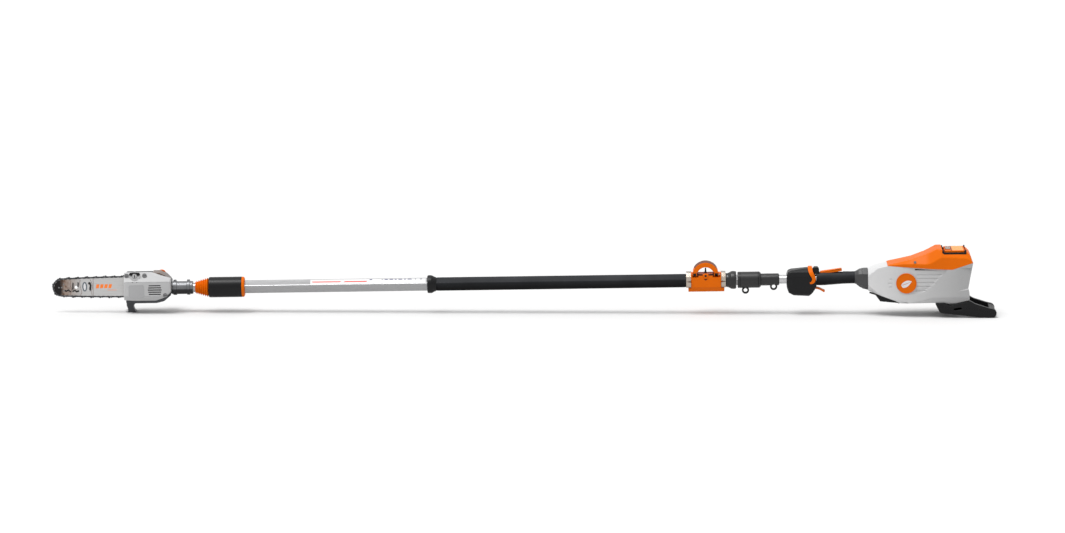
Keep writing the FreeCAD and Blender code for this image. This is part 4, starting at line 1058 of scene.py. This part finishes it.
def top_shell():
    cover = skin("cover", [cover_ring(*station) for station in COVER_STATIONS])
    cover = round_chosen(cover, 2.2, lambda at, *normals: at.z > mixed_at(SPLIT, at.x) + 1.5)
    saddle = [(2547.5, 120), (2547.5, 79), (2550, 75.5), (2554, 73.6), (2610, 73.6), (2614, 75.5),
              (2616.4, 79), (2616.4, 120)]
    tools = [block("well", 2551.9, 2615.1, -44.7, 44.7, 0, 120), prism_xz("saddle", saddle, -80, 80)]
    tools.append(skin("dip", [[(2470 + a * size, y, 52 + b * size) for a, b in circle(5, 24)]
                              for y, size in ((-62, 1.5), (-49.6, 0.8))]))
    stand_carved(cover, tools, "top_cover", 0.5, 2, 40)
    screw = lathe_y("cover_screw", 2470, 52, [(-50.6, 1.4), (-50.6, 3.2), (-50.2, 3.7), (-47, 3.7)], 24)
    trim(screw, 0, "drive_unit", "steel")


BADGE_X = 2444.5
BADGE_Y = 51.5
BADGE_Z = -8.5
BADGE_TURN = math.radians(7.27)
BADGE_RIM = ((29, -4), (29, -0.6), (28.6, 0), (27.2, 0), (26.9, -0.5), (26.9, -0.5))


def on_badge(side, outline, height):
    """Row of points on a badge's tilted face; the outline is in its own x and z, the height stands off it."""
    cos, sin = math.cos(BADGE_TURN), math.sin(BADGE_TURN)
    return [(BADGE_X + a * cos - height * sin, side * (BADGE_Y + a * sin + height * cos), BADGE_Z + b)
            for a, b in outline]


def leaf_half(bend):
    """Upper or lower half of the badge's plain leaf, cut along its rib."""
    edge = curved([(-15, -5), (-9, -5 + 7.5 * bend), (4, 0 + 8.5 * bend), (16, 6)], 6)
    rib = curved([(15.2, 5.6), (4, 0.5 + 0.7 * bend), (-9, -4.2 + 0.7 * bend), (-14.4, -4.7)], 6)
    return edge + rib


def badges():
    discs = []
    for side, letter in SIDES:
        rings = [on_badge(side, circle(radius, 96), height) for radius, height in BADGE_RIM]
        discs.append(skin("disc", rings))
    stand_for(soften(joined(discs), 0), "side_badges")
    for side, letter in SIDES:
        for name, bend in (("upper", 1), ("lower", -1)):
            rings = [on_badge(side, leaf_half(bend), height) for height in (-0.6, -0.2)]
            leaf = skin("badge_leaf_%s_%s" % (name, letter), rings)
            dress(leaf, "drive_unit", "orange_plastic", PRINT["white"])


def inlet():
    refined("inlet_grille", 0.4)
    path = [(2340.5, -37.6), (2356, -42.6), (2392, -56), (2413, -62.4), (2427.4, -68)]
    for side, letter in SIDES:
        y0, y1 = span(side, 20, 24.6)
        strip = prism_xz("inlet_frame_" + letter, band_outline(path, [4.4] * 5), y0, y1)
        black_trim(strip, 0.8, "drive_unit")
        nub = lathe_y("inlet_nub_" + letter, 2424.5, -68.6, [(y0 + 0.3, 2.4), (y1 - 0.3, 2.4)], 24)
        black_trim(nub, 0.6, "drive_unit")


def rear_bracket():
    """Two side rails joined by a rear and a front bar, with a slot through each rail."""
    rail = rounded_outline([(2526, -66.5), (2540, -95), (2655, -110.0), (2690, -110.6), (2699, -106.6),
                            (2702, -96), (2697, -87), (2677, -82), (2640, -69.5), (2626, -60.5), (2570, -73),
                            (2553, -65.6)], 5)
    rear = rounded_outline([(2677, -109.5), (2689.5, -109.6), (2697.6, -105.9), (2700.7, -96.2), (2696, -88),
                            (2681, -84.2)], 4)
    front = rounded_outline([(2541.2, -93.8), (2553, -95.4), (2556, -80), (2545, -76)], 3)
    slot = rounded_outline([(2578, -83), (2600, -79.5), (2603, -85), (2582, -88)], 2.5)
    parts = [prism_xz("rail", rail, *span(side, 41, 55)) for side, letter in SIDES]
    parts += [prism_xz("bar", outline, -43, 43) for outline in (rear, front)]
    stand_carved(joined(parts), [prism_xz("hole", slot, -60, 60)], "rear_bracket", 1.5, 3, 50)
    for side, letter in SIDES:
        outline = even_band([(2604, -84), (2628, -80.5), (2655, -88), (2684, -95.5)], 1.6)
        rib = prism_xz("bracket_rib_" + letter, outline, *span(side, 54.0, 55.5))
        black_trim(rib, 0.3, "drive_unit")


def battery():
    """Battery, its well and latch, with the raised plate, ribs and band on its top."""
    refined("battery_well", 0.8)
    refined("battery", 0.8)
    for index in range(5):
        x = 2578 + 6.2 * index
        rib = block("battery_rib_%d" % index, x, x + 2.2, -26, 26, 82, 83.7)
        trim(rib, 0.5, "battery", "orange_plastic", PRINT["peach"])
    top = rounded_outline([(2576.5, -37), (2608, -37), (2608, 37), (2576.5, 37)], 4)
    plate = skin("battery_plate", [[(a, b, z) for a, b in top] for z in (82, 83.3)])
    trim(plate, 0.3, "battery", "orange_plastic", PRINT["peach"])
    rim = rounded_outline([(2547.4, 81.5), (2547.4, 73.4), (2616.5, 73.4), (2616.5, 79), (2611, 79),
                           (2611, 78.6), (2553, 78.6), (2553, 81.5)], 4)
    for side, letter in SIDES:
        band = soften(prism_xz("battery_rim_" + letter, rim, *span(side, 44.9, 51.0)), 0.5, 2, 50)
        dress(band, "drive_unit", "black_plastic")
    strap = block("battery_band", 2573.4, 2575.6, -40, 40, 82, 83.4)
    black_trim(strap, 0.4, "battery")
    grips = [block("grip", 2560 + 3.4 * i, 2561.6 + 3.4 * i, -18, 18, 84.6, 90) for i in range(3)]
    stand_carved(cad_copy("battery_latch"), grips, "battery_latch", 0.3, 2, 40)


# ---- chain and bar

def bar_and_chain():
    refined("guide_bar", 0.25)
    for node in ("chain_drive_links", "chain_tie_straps", "chain_cutters", "chain_rivets", "chain_sprocket",
                 "nose_sprocket"):
        refined(node, 0.12)


def repaint_hidden():
    """Inner pieces keep their CAD shape and take the finished materials."""
    for node, obj in frame["nodes"].items():
        for slot in obj.material_slots:
            slot.material = MATERIALS[SLOT_OF[node]]


# ---- studio

SKY_LOW = 0.78
SKY_HIGH = 1.35
SKY_POWER = 4.0
SUN_POWER = 2.7
SUN_SPREAD = math.radians(32)
SUN_RUN = Vector((0.30, 0.20, -0.93))
FLOOR_TONE = 0.585
FLOOR_HALF = 30.0

CAMERA_RISE = math.radians(9.7)
CAMERA_TURN = math.radians(1.1)
CAMERA_DISTANCE = 15.0
VIEW_WIDTH = 3.0495
SENSOR_WIDTH = 36
POLE_MIDDLE = 1352 * MM
AIM_RIGHT = 0.0262
AIM_UP = 0.0468


def floor():
    corners = [(x * FLOOR_HALF, y * FLOOR_HALF, 0) for x, y in ((-1, -1), (1, -1), (1, 1), (-1, 1))]
    mesh = bpy.data.meshes.new("floor")
    mesh.from_pydata(corners, [], [(0, 1, 2, 3)])
    paint = Shader("floor_paint")
    paint.tint(paint.mixed(paint.noise(0.6, 2), (FLOOR_TONE,) * 3, (FLOOR_TONE + 0.01,) * 3))
    paint.set(Roughness=0.9, Specular_IOR_Level=0.0)
    mesh.materials.append(paint.material)
    new_object("floor", mesh)


def sky():
    """White world that brightens towards the zenith."""
    world = bpy.data.worlds.new("studio")
    world.use_nodes = True
    nodes = world.node_tree.nodes
    links = world.node_tree.links
    where = nodes.new("ShaderNodeTexCoord")
    split = nodes.new("ShaderNodeSeparateXYZ")
    links.new(where.outputs["Generated"], split.inputs["Vector"])
    power = nodes.new("ShaderNodeMath")
    power.operation = "POWER"
    power.use_clamp = True
    power.inputs[1].default_value = SKY_POWER
    links.new(split.outputs["Z"], power.inputs[0])
    strength = nodes.new("ShaderNodeMapRange")
    strength.inputs["To Min"].default_value = SKY_LOW
    strength.inputs["To Max"].default_value = SKY_HIGH
    links.new(power.outputs["Value"], strength.inputs["Value"])
    nodes["Background"].inputs["Color"].default_value = (1, 1, 1, 1)
    links.new(strength.outputs["Result"], nodes["Background"].inputs["Strength"])
    bpy.context.scene.world = world


def soft_sun():
    lamp = bpy.data.lights.new("soft_sun", "SUN")
    lamp.energy = SUN_POWER
    lamp.angle = SUN_SPREAD
    sun = new_object("soft_sun", lamp)
    sun.rotation_euler = SUN_RUN.to_track_quat("-Z", "Y").to_euler()


def camera():
    """Far camera with a narrow lens, a little above the object and in front of it."""
    level = math.cos(CAMERA_RISE)
    back = Vector((math.sin(CAMERA_TURN) * level, -math.cos(CAMERA_TURN) * level, math.sin(CAMERA_RISE)))
    look = (-back).to_track_quat("-Z", "Y")
    right = look @ Vector((1, 0, 0))
    up = look @ Vector((0, 1, 0))
    target = POLE @ Vector((POLE_MIDDLE, 0, 0)) + right * AIM_RIGHT + up * AIM_UP
    lens = bpy.data.cameras.new("camera")
    lens.sensor_width = SENSOR_WIDTH
    lens.lens = SENSOR_WIDTH * CAMERA_DISTANCE / VIEW_WIDTH
    lens.clip_end = 100
    obj = new_object("camera", lens)
    obj.location = target + back * CAMERA_DISTANCE
    obj.rotation_euler = look.to_euler()
    bpy.context.scene.camera = obj
    bpy.context.scene.view_settings.view_transform = "Standard"


for build in (camera, floor, sky, soft_sun, bar_and_chain, bar_marks, nose_rivets, sprocket_cover,
              tension_wheel, gear_head, shaft_rings, rubber_boot, sleeve, poles, clamp, strap_bushes, handle,
              drive_shells, top_shell, badges, inlet, rear_bracket, battery, repaint_hidden):
    build()
